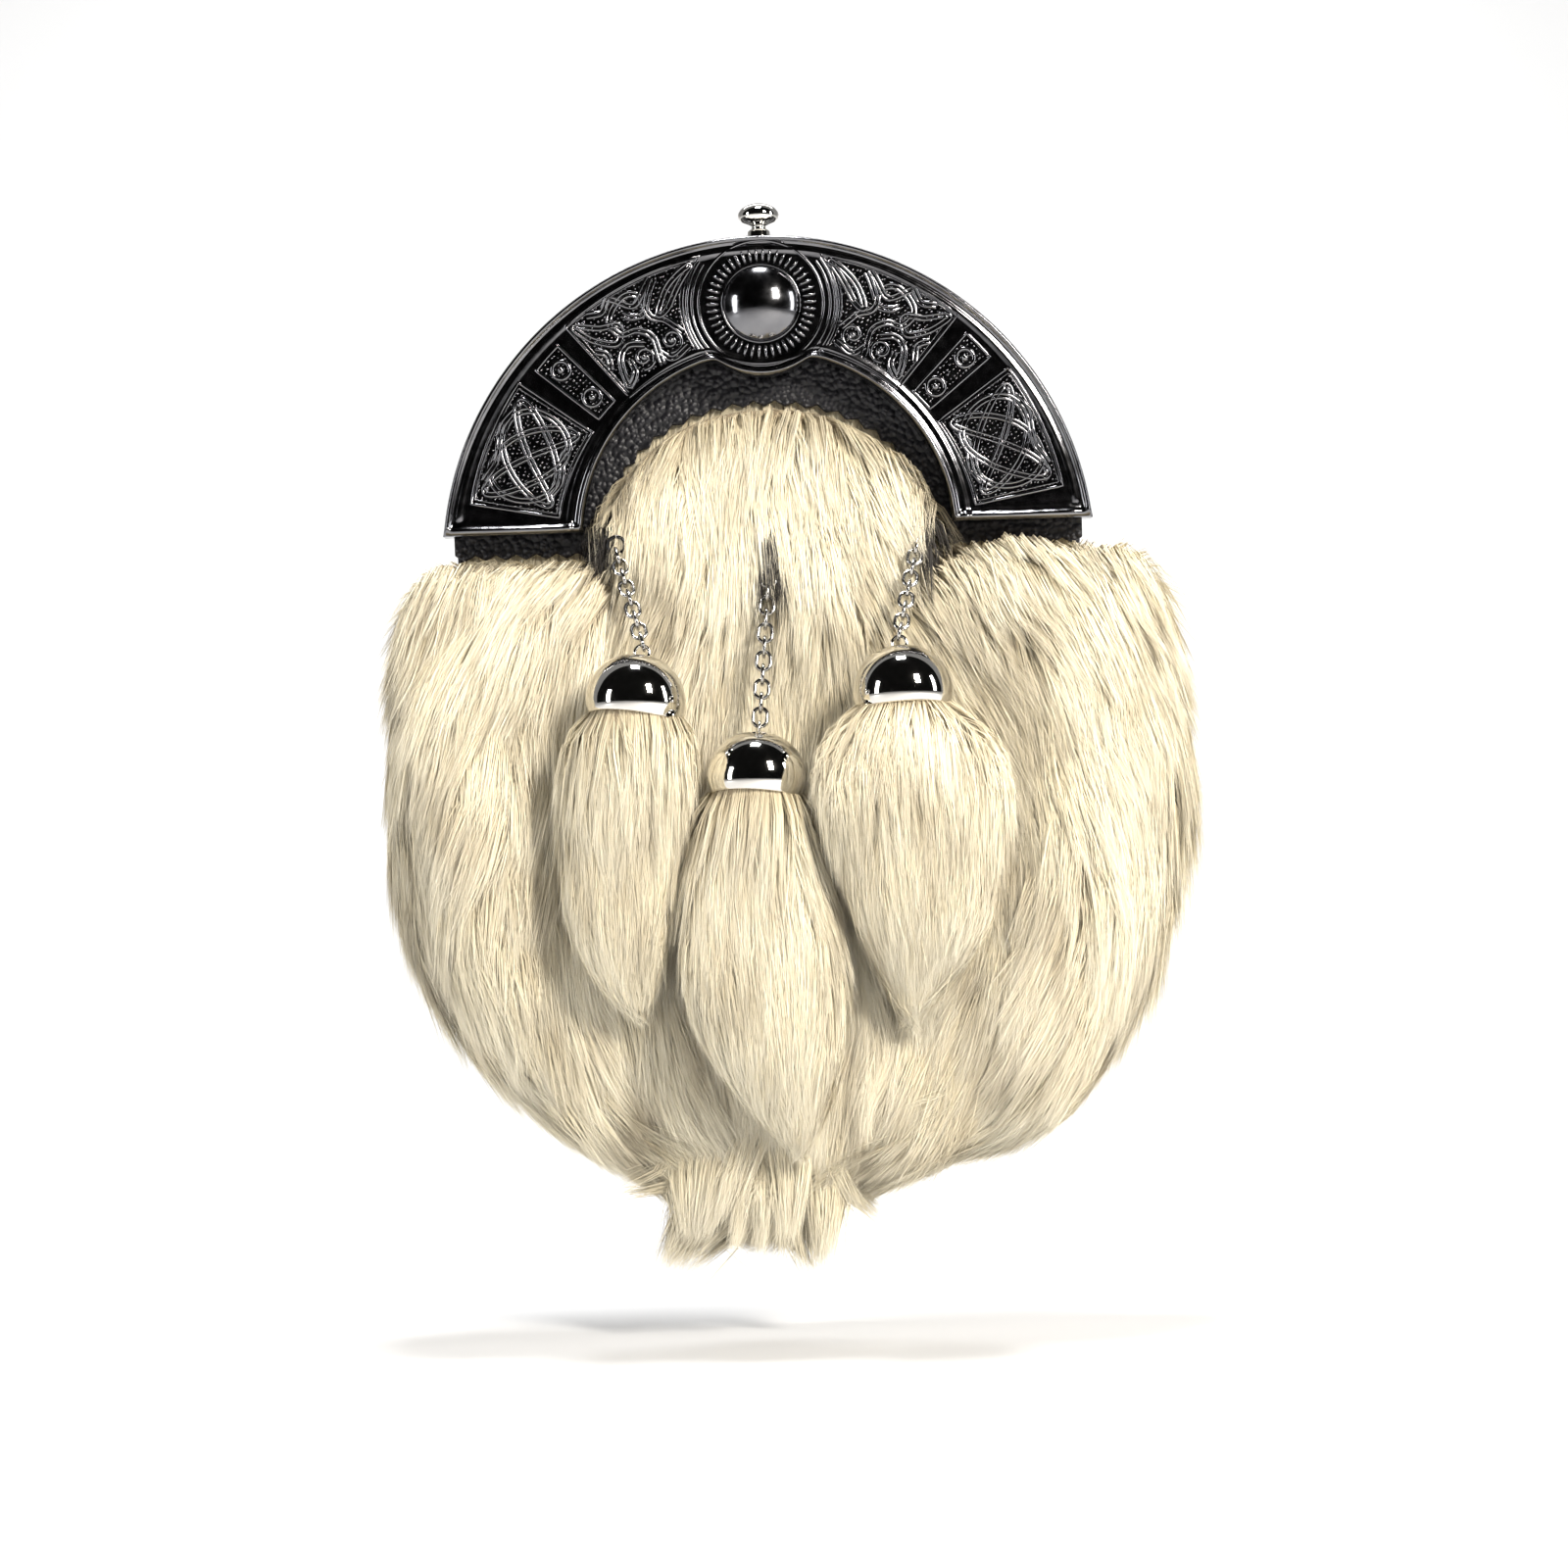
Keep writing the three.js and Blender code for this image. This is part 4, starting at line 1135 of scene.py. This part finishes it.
@dataclass
class Cantle:
    """The cast arch: plate, rims, medallion, decorated fields and its stippled ground."""

    outer_radius: float = 78 * MM
    outer_centre: float = -8.3 * MM
    inner_radius: float = 44.1 * MM
    inner_centre: float = -2.7 * MM
    medallion_z: float = 53.2 * MM
    lobe_radius: float = 17.3 * MM
    panel_centre: float = -5.5 * MM
    back: float = -13.3 * MM
    plate: float = -21.7 * MM
    columns: int = 240
    rows: int = 44

    def edge(self, turn: float, inner: bool) -> Vector:
        """A point on the cantle's inner or outer edge.

        Args:
            turn: 0 at the right foot to 1 at the left foot.
            inner: whether the inner edge is asked for.

        Returns:
            The point, as x and height above the foot.
        """
        radius, centre = (self.inner_radius, self.inner_centre) if inner else (self.outer_radius, self.outer_centre)
        foot = math.asin(-centre / radius)
        angle = foot + (math.pi - 2 * foot) * turn
        x, z = radius * math.cos(angle), centre + radius * math.sin(angle)
        if inner and abs(x) < self.lobe_radius:
            lobe = self.medallion_z - math.sqrt(self.lobe_radius**2 - x**2)
            soft = 1.2 * MM
            gap = z - lobe
            z = z - (gap + math.sqrt(gap * gap + soft * soft)) / 2 if gap > -4 * MM else z
        return Vector((x, z))

    def relief(self, from_outer: float, from_inner: float, from_foot: float) -> float:
        """How far the face stands ahead of the plate.

        Args:
            from_outer: distance from the outer edge.
            from_inner: distance from the inner edge.
            from_foot: distance from the foot line.

        Returns:
            The height in metres.
        """
        edge = min(from_outer, from_inner, from_foot)
        rim = 1.7 * MM * math.exp(-(((edge - 0.9 * MM) / (0.85 * MM)) ** 2))
        inside = 0.9 * MM * math.exp(-(((edge - 3.4 * MM) / (0.6 * MM)) ** 2)) if edge == from_outer else 0.0
        inside += 0.8 * MM * math.exp(-(((from_inner - 3.2 * MM) / (0.5 * MM)) ** 2))
        roll = -1.6 * MM * max(0.0, 1 - edge / (0.7 * MM)) ** 2
        cove = 0.9 * MM * max(0.0, 1 - from_outer / (5 * MM))
        return rim + inside + roll - cove

    def build_plate(self) -> None:
        """Builds the arched plate with its rims as one closed casting with the button's bore."""
        bm = bmesh.new()
        bmesh.ops.create_grid(bm, x_segments=self.columns, y_segments=self.rows, size=0.5)
        for vert in bm.verts:
            turn, share = vert.co.x + 0.5, vert.co.y + 0.5
            share = 0.5 - 0.5 * math.cos(math.pi * share)
            low, high = self.edge(turn, True), self.edge(turn, False)
            place = low.lerp(high, share)
            width = (high - low).length
            height = self.relief((1 - share) * width, share * width, place.y)
            vert.co = Vector((place.x, self.plate - height, FOOT_Z + place.y))
        front = bm.faces[:]
        bmesh.ops.recalc_face_normals(bm, faces=front)
        made = bmesh.ops.extrude_face_region(bm, geom=front, use_keep_orig=True)
        for item in made["geom"]:
            if isinstance(item, bmesh.types.BMVert):
                item.co.y = self.back
        bmesh.ops.recalc_face_normals(bm, faces=bm.faces)
        plate = to_object("cantle_casting", bm, BLACK_NICKEL)
        bpy.context.view_layer.update()
        low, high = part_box("push_button")
        drill = bmesh.new()
        depth = 13.7 * MM
        bmesh.ops.create_cone(
            drill, cap_ends=True, segments=32, radius1=3.1 * MM, radius2=3.1 * MM, depth=2 * depth,
            matrix=Matrix.Translation(((low.x + high.x) / 2, (low.y + high.y) / 2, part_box("cantle")[1].z)),
        )
        cutter = to_object("drill", drill, BLACK_NICKEL)
        cut = plate.modifiers.new("bore", "BOOLEAN")
        cut.operation, cut.solver, cut.object = "DIFFERENCE", "MANIFOLD", cutter
        applied(plate)
        bpy.data.objects.remove(cutter)
        finish_piece(plate, Slot.BLACK_NICKEL, "cantle")

    def build(self) -> None:
        """Builds the whole cantle."""
        self.build_plate()
        Medallion(self.plate, self.medallion_z).build()
        Ornament(self.plate, self.panel_centre, self.medallion_z).build()


@dataclass
class Medallion:
    """The round boss at the crown: a polished dome in a ring of rays."""

    plate: float
    height: float
    dome: float = 9.0 * MM
    rise: float = 3.9 * MM
    rays: int = 46
    ray_start: float = 9.9 * MM
    ray_end: float = 13.3 * MM
    ring: float = 14.9 * MM
    rim: float = 16.5 * MM

    def build(self) -> None:
        """Turns the dome and its rings, and sets the rays round them."""
        place = Matrix.Translation((0, self.plate, FOOT_Z + self.height)) @ Matrix.Rotation(math.pi / 2, 4, "X")
        cap = (self.dome**2 + self.rise**2) / (2 * self.rise)
        half = math.asin(self.dome / cap)
        arc = [(cap * math.sin(turn), cap * math.cos(turn) - cap + self.rise + 0.3 * MM) for turn in np.linspace(half, 0, 14)]
        bm = bmesh.new()
        turned(bm, [(0, -1 * MM), (self.dome + 0.1 * MM, -1 * MM), *arc[:-1], (0, arc[-1][1])], place, 64)
        for radius, wire in ((self.dome + 0.25 * MM, 0.3 * MM), (self.ring, 0.4 * MM)):
            add_ring(bm, 2 * radius, 2 * radius, wire, place @ Matrix.Rotation(math.pi / 2, 4, "X"), 96)
        for middle in (0.0, math.pi):
            for radius in (self.rim, self.rim + 1.2 * MM):
                arc = [
                    place @ Vector((radius * math.cos(turn), radius * math.sin(turn), 0.15 * MM))
                    for turn in np.linspace(-0.75, 0.62, 26) * (1 if middle == 0 else -1) + middle
                ]
                add_wire(bm, arc, 0.42 * MM, closed=False)
        for index in range(self.rays):
            turn = Matrix.Rotation(2 * math.pi * index / self.rays, 4, "Z")
            ray = bmesh.new()
            length = self.ray_end - self.ray_start
            bmesh.ops.create_uvsphere(ray, u_segments=8, v_segments=6, radius=0.5)
            size = Matrix.Diagonal((length, 0.92 * MM, 1.5 * MM, 1))
            middle = Matrix.Translation(((self.ray_start + self.ray_end) / 2, 0, 0.1 * MM))
            add_part(bm, ray, place @ turn @ middle @ size)
        finish_piece(to_object("cantle_medallion", bm, BLACK_NICKEL), Slot.BLACK_NICKEL)


class Field(Enum):
    """The decorated fields of one half of the cantle: start and end angle, inner and outer radius in mm."""

    KNOT = (10.5, 35.5, 50.4, 71.6)
    RINGS = (39.3, 45.8, 51.0, 69.8)
    BEAST = (49.4, 90.0, 49.0, 71.8)


@dataclass
class Ornament:
    """The cords, frames, rings and grains of the decorated fields, on both halves."""

    plate: float
    centre: float
    medallion_z: float
    clear: float = 18.4 * MM
    cord: float = 0.4 * MM
    gap: float = 0.5 * MM
    grain: float = 0.30 * MM
    grain_pitch: float = 1.02 * MM
    # Each line of the beast field: places along and across the field, and whether it closes.
    beast: tuple = (
        (((0.97, 0.93), (0.83, 0.8), (0.74, 0.56), (0.86, 0.62)), True),
        (((0.93, 0.3), (0.8, 0.48), (0.66, 0.58), (0.6, 0.8), (0.46, 0.9), (0.3, 0.78), (0.33, 0.58), (0.5, 0.52), (0.62, 0.36), (0.56, 0.1)), False),
        (((0.36, 0.66), (0.2, 0.76), (0.04, 0.93), (0.1, 0.7), (0.26, 0.52)), True),
        (((0.5, 0.36), (0.34, 0.44), (0.2, 0.36), (0.09, 0.1), (0.24, 0.16), (0.28, 0.3)), False),
        (((0.7, 0.92), (0.62, 0.66), (0.5, 0.66), (0.42, 0.74)), False),
        (((0.66, 0.94), (0.54, 0.76), (0.36, 0.94)), False),
        (((0.16, 0.94), (0.26, 0.88), (0.34, 0.96)), False),
        (((0.05, 0.6), (0.12, 0.48), (0.05, 0.34)), False),
        (((0.92, 0.14), (0.7, 0.08), (0.6, 0.2)), False),
    )
    spirals: tuple = ((0.78, 0.26, 2.9), (0.42, 0.24, 2.9))

    def limit(self, radius: float) -> float:
        """The angle at which a circle about the fields' centre meets the medallion's surround."""
        apart = self.medallion_z - self.centre
        share = (radius**2 + apart**2 - self.clear**2) / (2 * radius * apart)
        return 90 - math.degrees(math.acos(min(1.0, share)))

    def point(self, side: Side, where: Field, along: float, across: float, ahead: float = 0.0) -> Vector:
        """A point of a field.

        Args:
            side: the half of the cantle.
            where: the field.
            along: 0 at the field's lower end to 1 at its upper end.
            across: 0 at its inner edge to 1 at its outer edge.
            ahead: how far it stands off the plate.

        Returns:
            The point in the part's frame.
        """
        start, end, low, high = where.value
        radius = (low + (high - low) * across) * MM
        if where is Field.BEAST:
            end = self.limit(radius)
        turn = math.radians(start + (end - start) * along)
        return Vector((side.value * radius * math.cos(turn), self.plate - ahead, FOOT_Z + self.centre + radius * math.sin(turn)))

    def outline(self, side: Side, where: Field, inset: float) -> list[Vector]:
        """Walks round a field.

        Args:
            side: the half of the cantle.
            where: the field.
            inset: how far inside the field's edge, as a share of its size.

        Returns:
            The closed line.
        """
        ends = np.linspace(inset, 1 - inset, 14)
        walk = [(end, inset) for end in ends] + [(1 - inset, end) for end in ends[1:]]
        walk += [(end, 1 - inset) for end in ends[::-1][1:]] + [(inset, end) for end in ends[::-1][1:-1]]
        return [self.point(side, where, along, across, 0.1 * MM) for along, across in walk]

    def smooth(self, line: Sequence[tuple], closed: bool, steps: int = 7) -> list[tuple]:
        """Runs a smooth line through places on a field."""
        places = np.array(line)
        count = len(places)
        if not closed:
            places = np.vstack([2 * places[0] - places[1], places, 2 * places[-1] - places[-2]])
        result = []
        spans = range(count) if closed else range(1, count)
        for span in spans:
            a, b, c, d = (places[(span + step) % len(places)] for step in (-1, 0, 1, 2))
            for share in np.arange(steps) / steps:
                result.append(tuple(0.5 * (
                    2 * b + (c - a) * share + (2 * a - 5 * b + 4 * c - d) * share**2 + (3 * b - a - 3 * c + d) * share**3
                )))
        if not closed:
            result.append(line[-1])
        return result

    def double_cord(self, bm: bmesh.types.BMesh, points: list[Vector], closed: bool, weave: float) -> None:
        """Adds a cord of two ridges that weaves over and under.

        Args:
            bm: the mesh that it is added to.
            points: the cord's middle line.
            closed: whether the line is a loop.
            weave: crests of the weave along the line.
        """
        count = len(points)
        for offset in (-self.gap, self.gap):
            ridge = []
            for index, point in enumerate(points):
                after = points[(index + 1) % count] if closed or index < count - 1 else point
                before = points[index - 1] if closed or index else point
                along = (after - before).normalized()
                aside = along.cross(Vector((0, 1, 0)))
                rise = 0.28 * MM * (1 + math.sin(2 * math.pi * weave * index / count))
                ridge.append(point + aside * offset + Vector((0, -rise, 0)))
            add_wire(bm, ridge, self.cord, closed)

    def knot(self, bm: bmesh.types.BMesh, side: Side) -> None:
        """Adds the interlaced knot of the lower field."""
        points = []
        steps = 150
        for index in range(steps):
            turn = 2 * math.pi * index / steps
            along = 0.5 + 0.40 * math.cos(3 * turn)
            across = 0.5 + 0.38 * math.cos(4 * turn + 0.55)
            points.append(self.point(side, Field.KNOT, along, across))
        self.double_cord(bm, points, True, 12)
        for along, across in ((0.5, 0.5), (0.86, 0.86), (0.86, 0.14), (0.14, 0.86), (0.14, 0.14)):
            middle = self.point(side, Field.KNOT, along, across)
            add_bead(bm, middle, 0.75 * MM)
        for across in (0.12, 0.88):
            line = [self.point(side, Field.KNOT, along, across + 0.04 * math.sin(along * 12)) for along in np.linspace(0.2, 0.8, 16)]
            self.double_cord(bm, line, False, 3)

    def build(self) -> None:
        """Builds the ornament of both halves."""
        cords = bmesh.new()
        frames = bmesh.new()
        grains: list[Vector] = []
        rng = np.random.default_rng(SEED)
        for side in Side:
            self.knot(cords, side)
            for line, closed in self.beast:
                points = [self.point(side, Field.BEAST, *place) for place in self.smooth(line, closed)]
                self.double_cord(cords, points, closed, len(points) / 12)
            for along, across, size in self.spirals:
                self.spiral(cords, self.point(side, Field.BEAST, along, across), side, size * MM)
            for across in (0.24, 0.76):
                middle = self.point(side, Field.RINGS, 0.5, across)
                flat = Matrix.Translation(middle - Vector((0, 0.25 * MM, 0)))
                add_ring(cords, 4.3 * MM, 4.3 * MM, 0.5 * MM, flat, 28)
                add_bead(cords, middle, 0.95 * MM)
            for where in Field:
                add_wire(frames, self.outline(side, where, 0.0), 0.42 * MM)
                if where is not Field.RINGS:
                    add_wire(frames, self.outline(side, where, 0.035), 0.22 * MM)
                grains += self.scatter(side, where, rng)
        finish_piece(to_object("cantle_knotwork", cords, BLACK_NICKEL), Slot.BLACK_NICKEL)
        finish_piece(to_object("cantle_frames", frames, BLACK_NICKEL), Slot.BLACK_NICKEL)
        places = np.tile(np.eye(4), (len(grains), 1, 1))
        places[:, :3, 3] = np.array(grains)
        places[:, :3, :3] *= rng.uniform(0.7, 1.15, len(grains))[:, None, None]
        grain = bmesh.new()
        bmesh.ops.create_icosphere(grain, subdivisions=1, radius=self.grain)
        finish_piece(repeated("cantle_grains", grain, places, BLACK_NICKEL), Slot.BLACK_NICKEL)

    def spiral(self, bm: bmesh.types.BMesh, middle: Vector, side: Side, size: float) -> None:
        """Adds a spiral with a bead in its middle."""
        line = []
        for turn in np.linspace(0.35, 1.75, 34) * 2 * math.pi:
            reach = size * turn / (3.5 * math.pi)
            line.append(middle + Vector((side.value * reach * math.cos(turn), -0.2 * MM, reach * math.sin(turn))))
        add_wire(bm, line, 0.48 * MM, closed=False)
        add_bead(bm, middle, 0.8 * MM)

    def scatter(self, side: Side, where: Field, rng: np.random.Generator) -> list[Vector]:
        """Places the ground's grains in loose rows.

        Args:
            side: the half of the cantle.
            where: the field.
            rng: makes the rows loose.

        Returns:
            The grains' places.
        """
        start, _, low, high = where.value
        rows = int((high - low) * MM / self.grain_pitch)
        result = []
        for row in range(1, rows):
            across = row / rows
            length = (self.point(side, where, 1, across) - self.point(side, where, 0, across)).length
            count = int(length / self.grain_pitch)
            for step in range(1, count):
                jitter = rng.uniform(-0.25, 0.25, 2)
                result.append(self.point(side, where, (step + jitter[0]) / count, (row + jitter[1]) / rows, 0.05 * MM))
        return result


def add_bead(bm: bmesh.types.BMesh, middle: Vector, radius: float) -> None:
    """Adds a half-sunk bead to the cantle's face."""
    part = bmesh.new()
    bmesh.ops.create_uvsphere(part, u_segments=14, v_segments=8, radius=radius)
    add_part(bm, part, Matrix.Translation(middle))


# ---------------------------------------------------------------- leather and button


def softened(node: str, name: str, width: float, material: bpy.types.Material) -> bpy.types.Object:
    """Rebuilds a cut leather piece with its edges rounded.

    Args:
        node: the CAD node.
        name: the new piece's name.
        width: the rounding.
        material: its finish.

    Returns:
        The piece.
    """
    bm = node_copy(node)
    bmesh.ops.dissolve_limit(bm, angle_limit=math.radians(1), verts=bm.verts, edges=bm.edges)
    sharp = [edge for edge in bm.edges if edge.is_manifold and edge.calc_face_angle() > math.radians(50)]
    bmesh.ops.bevel(
        bm, geom=sharp, offset=width, offset_type="OFFSET", affect="EDGES", segments=2, profile=0.5, material=-1,
        clamp_overlap=True,
    )
    bmesh.ops.triangulate(bm, faces=[face for face in bm.faces if len(face.verts) > 4])
    piece = to_object(name, bm, material, smooth=False)
    return finish_piece(piece, Slot.LEATHER, node)


@dataclass
class Pouch:
    """The leather pouch with its strap loops."""

    rounding: float = 0.5 * MM
    margin: float = 4.2 * MM
    pitch: float = 3.4 * MM
    foot_thickness: float = 2.4 * MM

    def build(self) -> None:
        """Builds the leather pieces."""
        softened("back_panel", "back_leather", self.rounding, SMOOTH_LEATHER)
        softened("gusset", "gusset_leather", self.rounding / 2, SMOOTH_LEATHER)
        softened("front_leather", "pinked_leather", 0.25 * MM, PEBBLED_LEATHER)
        for side in ("left", "right"):
            softened(f"strap_loop_{side}", f"strap_loop_{side}_leather", self.rounding, SMOOTH_LEATHER)
        self.stitches()

    def stitches(self) -> None:
        """Sews round the back panel and across the feet of the strap loops."""
        corners = [(vert.co.x, vert.co.z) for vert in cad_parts["back_panel"].data.vertices]
        hull = [Vector(corners[index]) for index in geometry.convex_hull_2d(corners)]
        middle = sum(hull, Vector((0, 0))) / len(hull)
        line = [point + (middle - point).normalized() * self.margin for point in hull]
        places = self.stitch_places([*line, line[0]], 0.0)
        for side in ("left", "right"):
            low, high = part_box(f"strap_loop_{side}")
            for z in (low.z + 3 * MM, high.z - 3 * MM):
                ends = [Vector((low.x + 2.5 * MM, z)), Vector((high.x - 2.5 * MM, z))]
                places += self.stitch_places(ends, self.foot_thickness)
        stitch = bmesh.new()
        bmesh.ops.create_uvsphere(stitch, u_segments=8, v_segments=6, radius=1.0)
        bmesh.ops.scale(stitch, vec=(1.15 * MM, 0.3 * MM, 0.34 * MM), verts=stitch.verts)
        finish_piece(repeated("back_stitches", stitch, np.array(places), THREAD), Slot.LEATHER)

    def stitch_places(self, line: list[Vector], height: float) -> list[np.ndarray]:
        """Spaces stitches evenly along a line on the back.

        Args:
            line: the line, as x and z.
            height: how far the leather there stands behind the back panel.

        Returns:
            A 4 by 4 place for each stitch.
        """
        points = np.array(line)
        walked = np.concatenate([[0], np.cumsum(np.linalg.norm(np.diff(points, axis=0), axis=1))])
        count = max(2, round(walked[-1] / self.pitch))
        marks = (np.arange(count) + 0.5) * walked[-1] / count
        places = []
        for mark in marks:
            here, ahead = (
                Vector((np.interp(at, walked, points[:, 0]), height, np.interp(at, walked, points[:, 1])))
                for at in (mark, mark + 0.2 * MM)
            )
            turn = Vector((1, 0, 0)).rotation_difference(ahead - here).to_matrix().to_4x4()
            places.append(np.array(Matrix.Translation(here) @ turn))
        return places


@dataclass
class PushButton:
    """The knob on top of the cantle."""

    stem: float = 2.75 * MM
    head: float = 5.0 * MM

    def build(self) -> None:
        """Turns the knob."""
        low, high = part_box("push_button")
        cantle_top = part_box("cantle")[1].z
        base = cantle_top - low.z
        tall = high.z - cantle_top
        profile = [
            (0, -base), (self.stem * 0.8, -base), (self.stem, -base + 0.6 * MM), (self.stem, 0.9 * MM),
            (self.stem * 0.9, 1.3 * MM), (self.stem * 0.66, 1.7 * MM), (self.stem * 0.62, 2.3 * MM),
            (self.head * 0.5, 2.75 * MM), (self.head * 0.78, 3.2 * MM), (self.head * 0.95, 4.0 * MM),
            (self.head, 4.9 * MM), (self.head * 0.97, 5.6 * MM), (self.head * 0.84, 6.5 * MM),
            (self.head * 0.62, 7.2 * MM), (self.head * 0.34, 7.7 * MM), (0, tall),
        ]
        bm = bmesh.new()
        place = Matrix.Translation(((low.x + high.x) / 2, (low.y + high.y) / 2, cantle_top))
        turned(bm, profile, place, 48)
        knob = to_object("push_button_polished", bm, BRIGHT_NICKEL)
        finish_piece(knob, Slot.BRIGHT_NICKEL, "push_button", body=BUTTON_BODY)


# ---------------------------------------------------------------- studio


@dataclass
class Studio:
    """Floor, backdrop, lights and camera."""

    distance: float = 0.85
    view_width: float = 374 * MM
    roll: float = -1.8
    aim: Vector = field(default_factory=lambda: Vector((1.9 * MM, -0.02, FOOT_Z - 61.4 * MM)))

    def area(self, name: str, place: tuple, size: tuple, power: float, colour: tuple = (1, 1, 1)) -> None:
        """Adds a soft light that faces the pouch.

        Args:
            name: the light's name.
            place: where it stands.
            size: its width and height.
            power: its power in watts.
            colour: its colour.
        """
        light = bpy.data.lights.new(name, "AREA")
        light.shape = "RECTANGLE"
        light.size, light.size_y = size
        light.energy = power
        light.color = colour
        lamp = bpy.data.objects.new(name, light)
        lamp.location = place
        lamp.rotation_euler = (self.aim - Vector(place)).to_track_quat("-Z", "Y").to_euler()
        bpy.context.scene.collection.objects.link(lamp)

    def build(self) -> None:
        """Sets the stage."""
        scene = bpy.context.scene
        scene.view_settings.view_transform = "Standard"
        scene.cycles.diffuse_bounces = 2
        scene.cycles.max_bounces = 6
        camera = bpy.data.cameras.new("camera")
        camera.sensor_width = 36
        camera.lens = 36 * self.distance / self.view_width
        holder = bpy.data.objects.new("camera", camera)
        turn = Matrix.Rotation(math.pi / 2, 4, "X") @ Matrix.Rotation(math.radians(self.roll), 4, "Z")
        holder.matrix_world = Matrix.Translation(self.aim - Vector((0, self.distance, 0))) @ turn
        scene.collection.objects.link(holder)
        scene.camera = holder

        world = bpy.data.worlds.new("studio")
        world.use_nodes = True
        background = world.node_tree.nodes["Background"]
        background.inputs["Color"].default_value = (1, 1, 1, 1)
        background.inputs["Strength"].default_value = 0.28
        scene.world = world

        floor_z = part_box("fur_front")[0].z - 26 * MM
        shader = Shader("pale_floor")
        shader.link(
            shader.ramp(shader.noise(3), [(0.3, (0.68,) * 3), (0.7, (0.70,) * 3)]),
            shader.bsdf.inputs["Base Color"],
        )
        shader.set("Roughness", 0.8)
        bm = bmesh.new()
        bmesh.ops.create_grid(bm, x_segments=1, y_segments=24, size=3)
        for vert in bm.verts:
            along = vert.co.y
            bend = max(0.0, along - 1.2)
            vert.co.z = floor_z + bend * bend * 0.9
        floor = to_object("floor", bm, shader.material)

        tent = bmesh.new()
        bmesh.ops.create_uvsphere(tent, u_segments=32, v_segments=16, radius=1.9)
        bmesh.ops.bisect_plane(
            tent, geom=tent.verts[:] + tent.edges[:] + tent.faces[:], plane_co=(0, 0.15, 0), plane_no=(0, 1, 0),
            clear_outer=True,
        )
        matt = Shader("black_cloth")
        matt.link(matt.ramp(matt.noise(3), [(0, (0.008,) * 3), (1, (0.012,) * 3)]), matt.bsdf.inputs["Base Color"])
        matt.set("Specular IOR Level", 0.0)
        cloth = to_object("black_tent", tent, matt.material)
        cloth.visible_camera = cloth.visible_diffuse = cloth.visible_shadow = False

        self.area("key", (0.50, -0.70, 0.42), (0.16, 0.30), 12.0, (1.0, 0.95, 0.88))
        self.area("fill", (-0.80, -0.45, 0.10), (0.14, 0.5), 2.6)
        self.area("strip", (0.85, -0.25, 0.15), (0.10, 0.5), 2.5)
        self.area("top", (0.0, -0.05, 0.9), (0.22, 0.16), 11.0)
        self.area("backdrop", (0.0, 1.0, 1.2), (1.6, 0.8), 27)
        bpy.data.objects["backdrop"].rotation_euler = (math.radians(35), 0, 0)


def main() -> None:
    """Builds every piece in order."""
    logging.basicConfig(level=logging.INFO, format="%(name)s: %(message)s")
    Studio().build()
    Pouch().build()
    Cantle().build()
    PushButton().build()
    FurFront().build()
    TrimFringe().build()
    for tassel in (Tassel("left", 9, 19000), Tassel("middle", 5, 25000), Tassel("right", -2, 25000)):
        tassel.build()


if __name__ == "__main__":
    main()
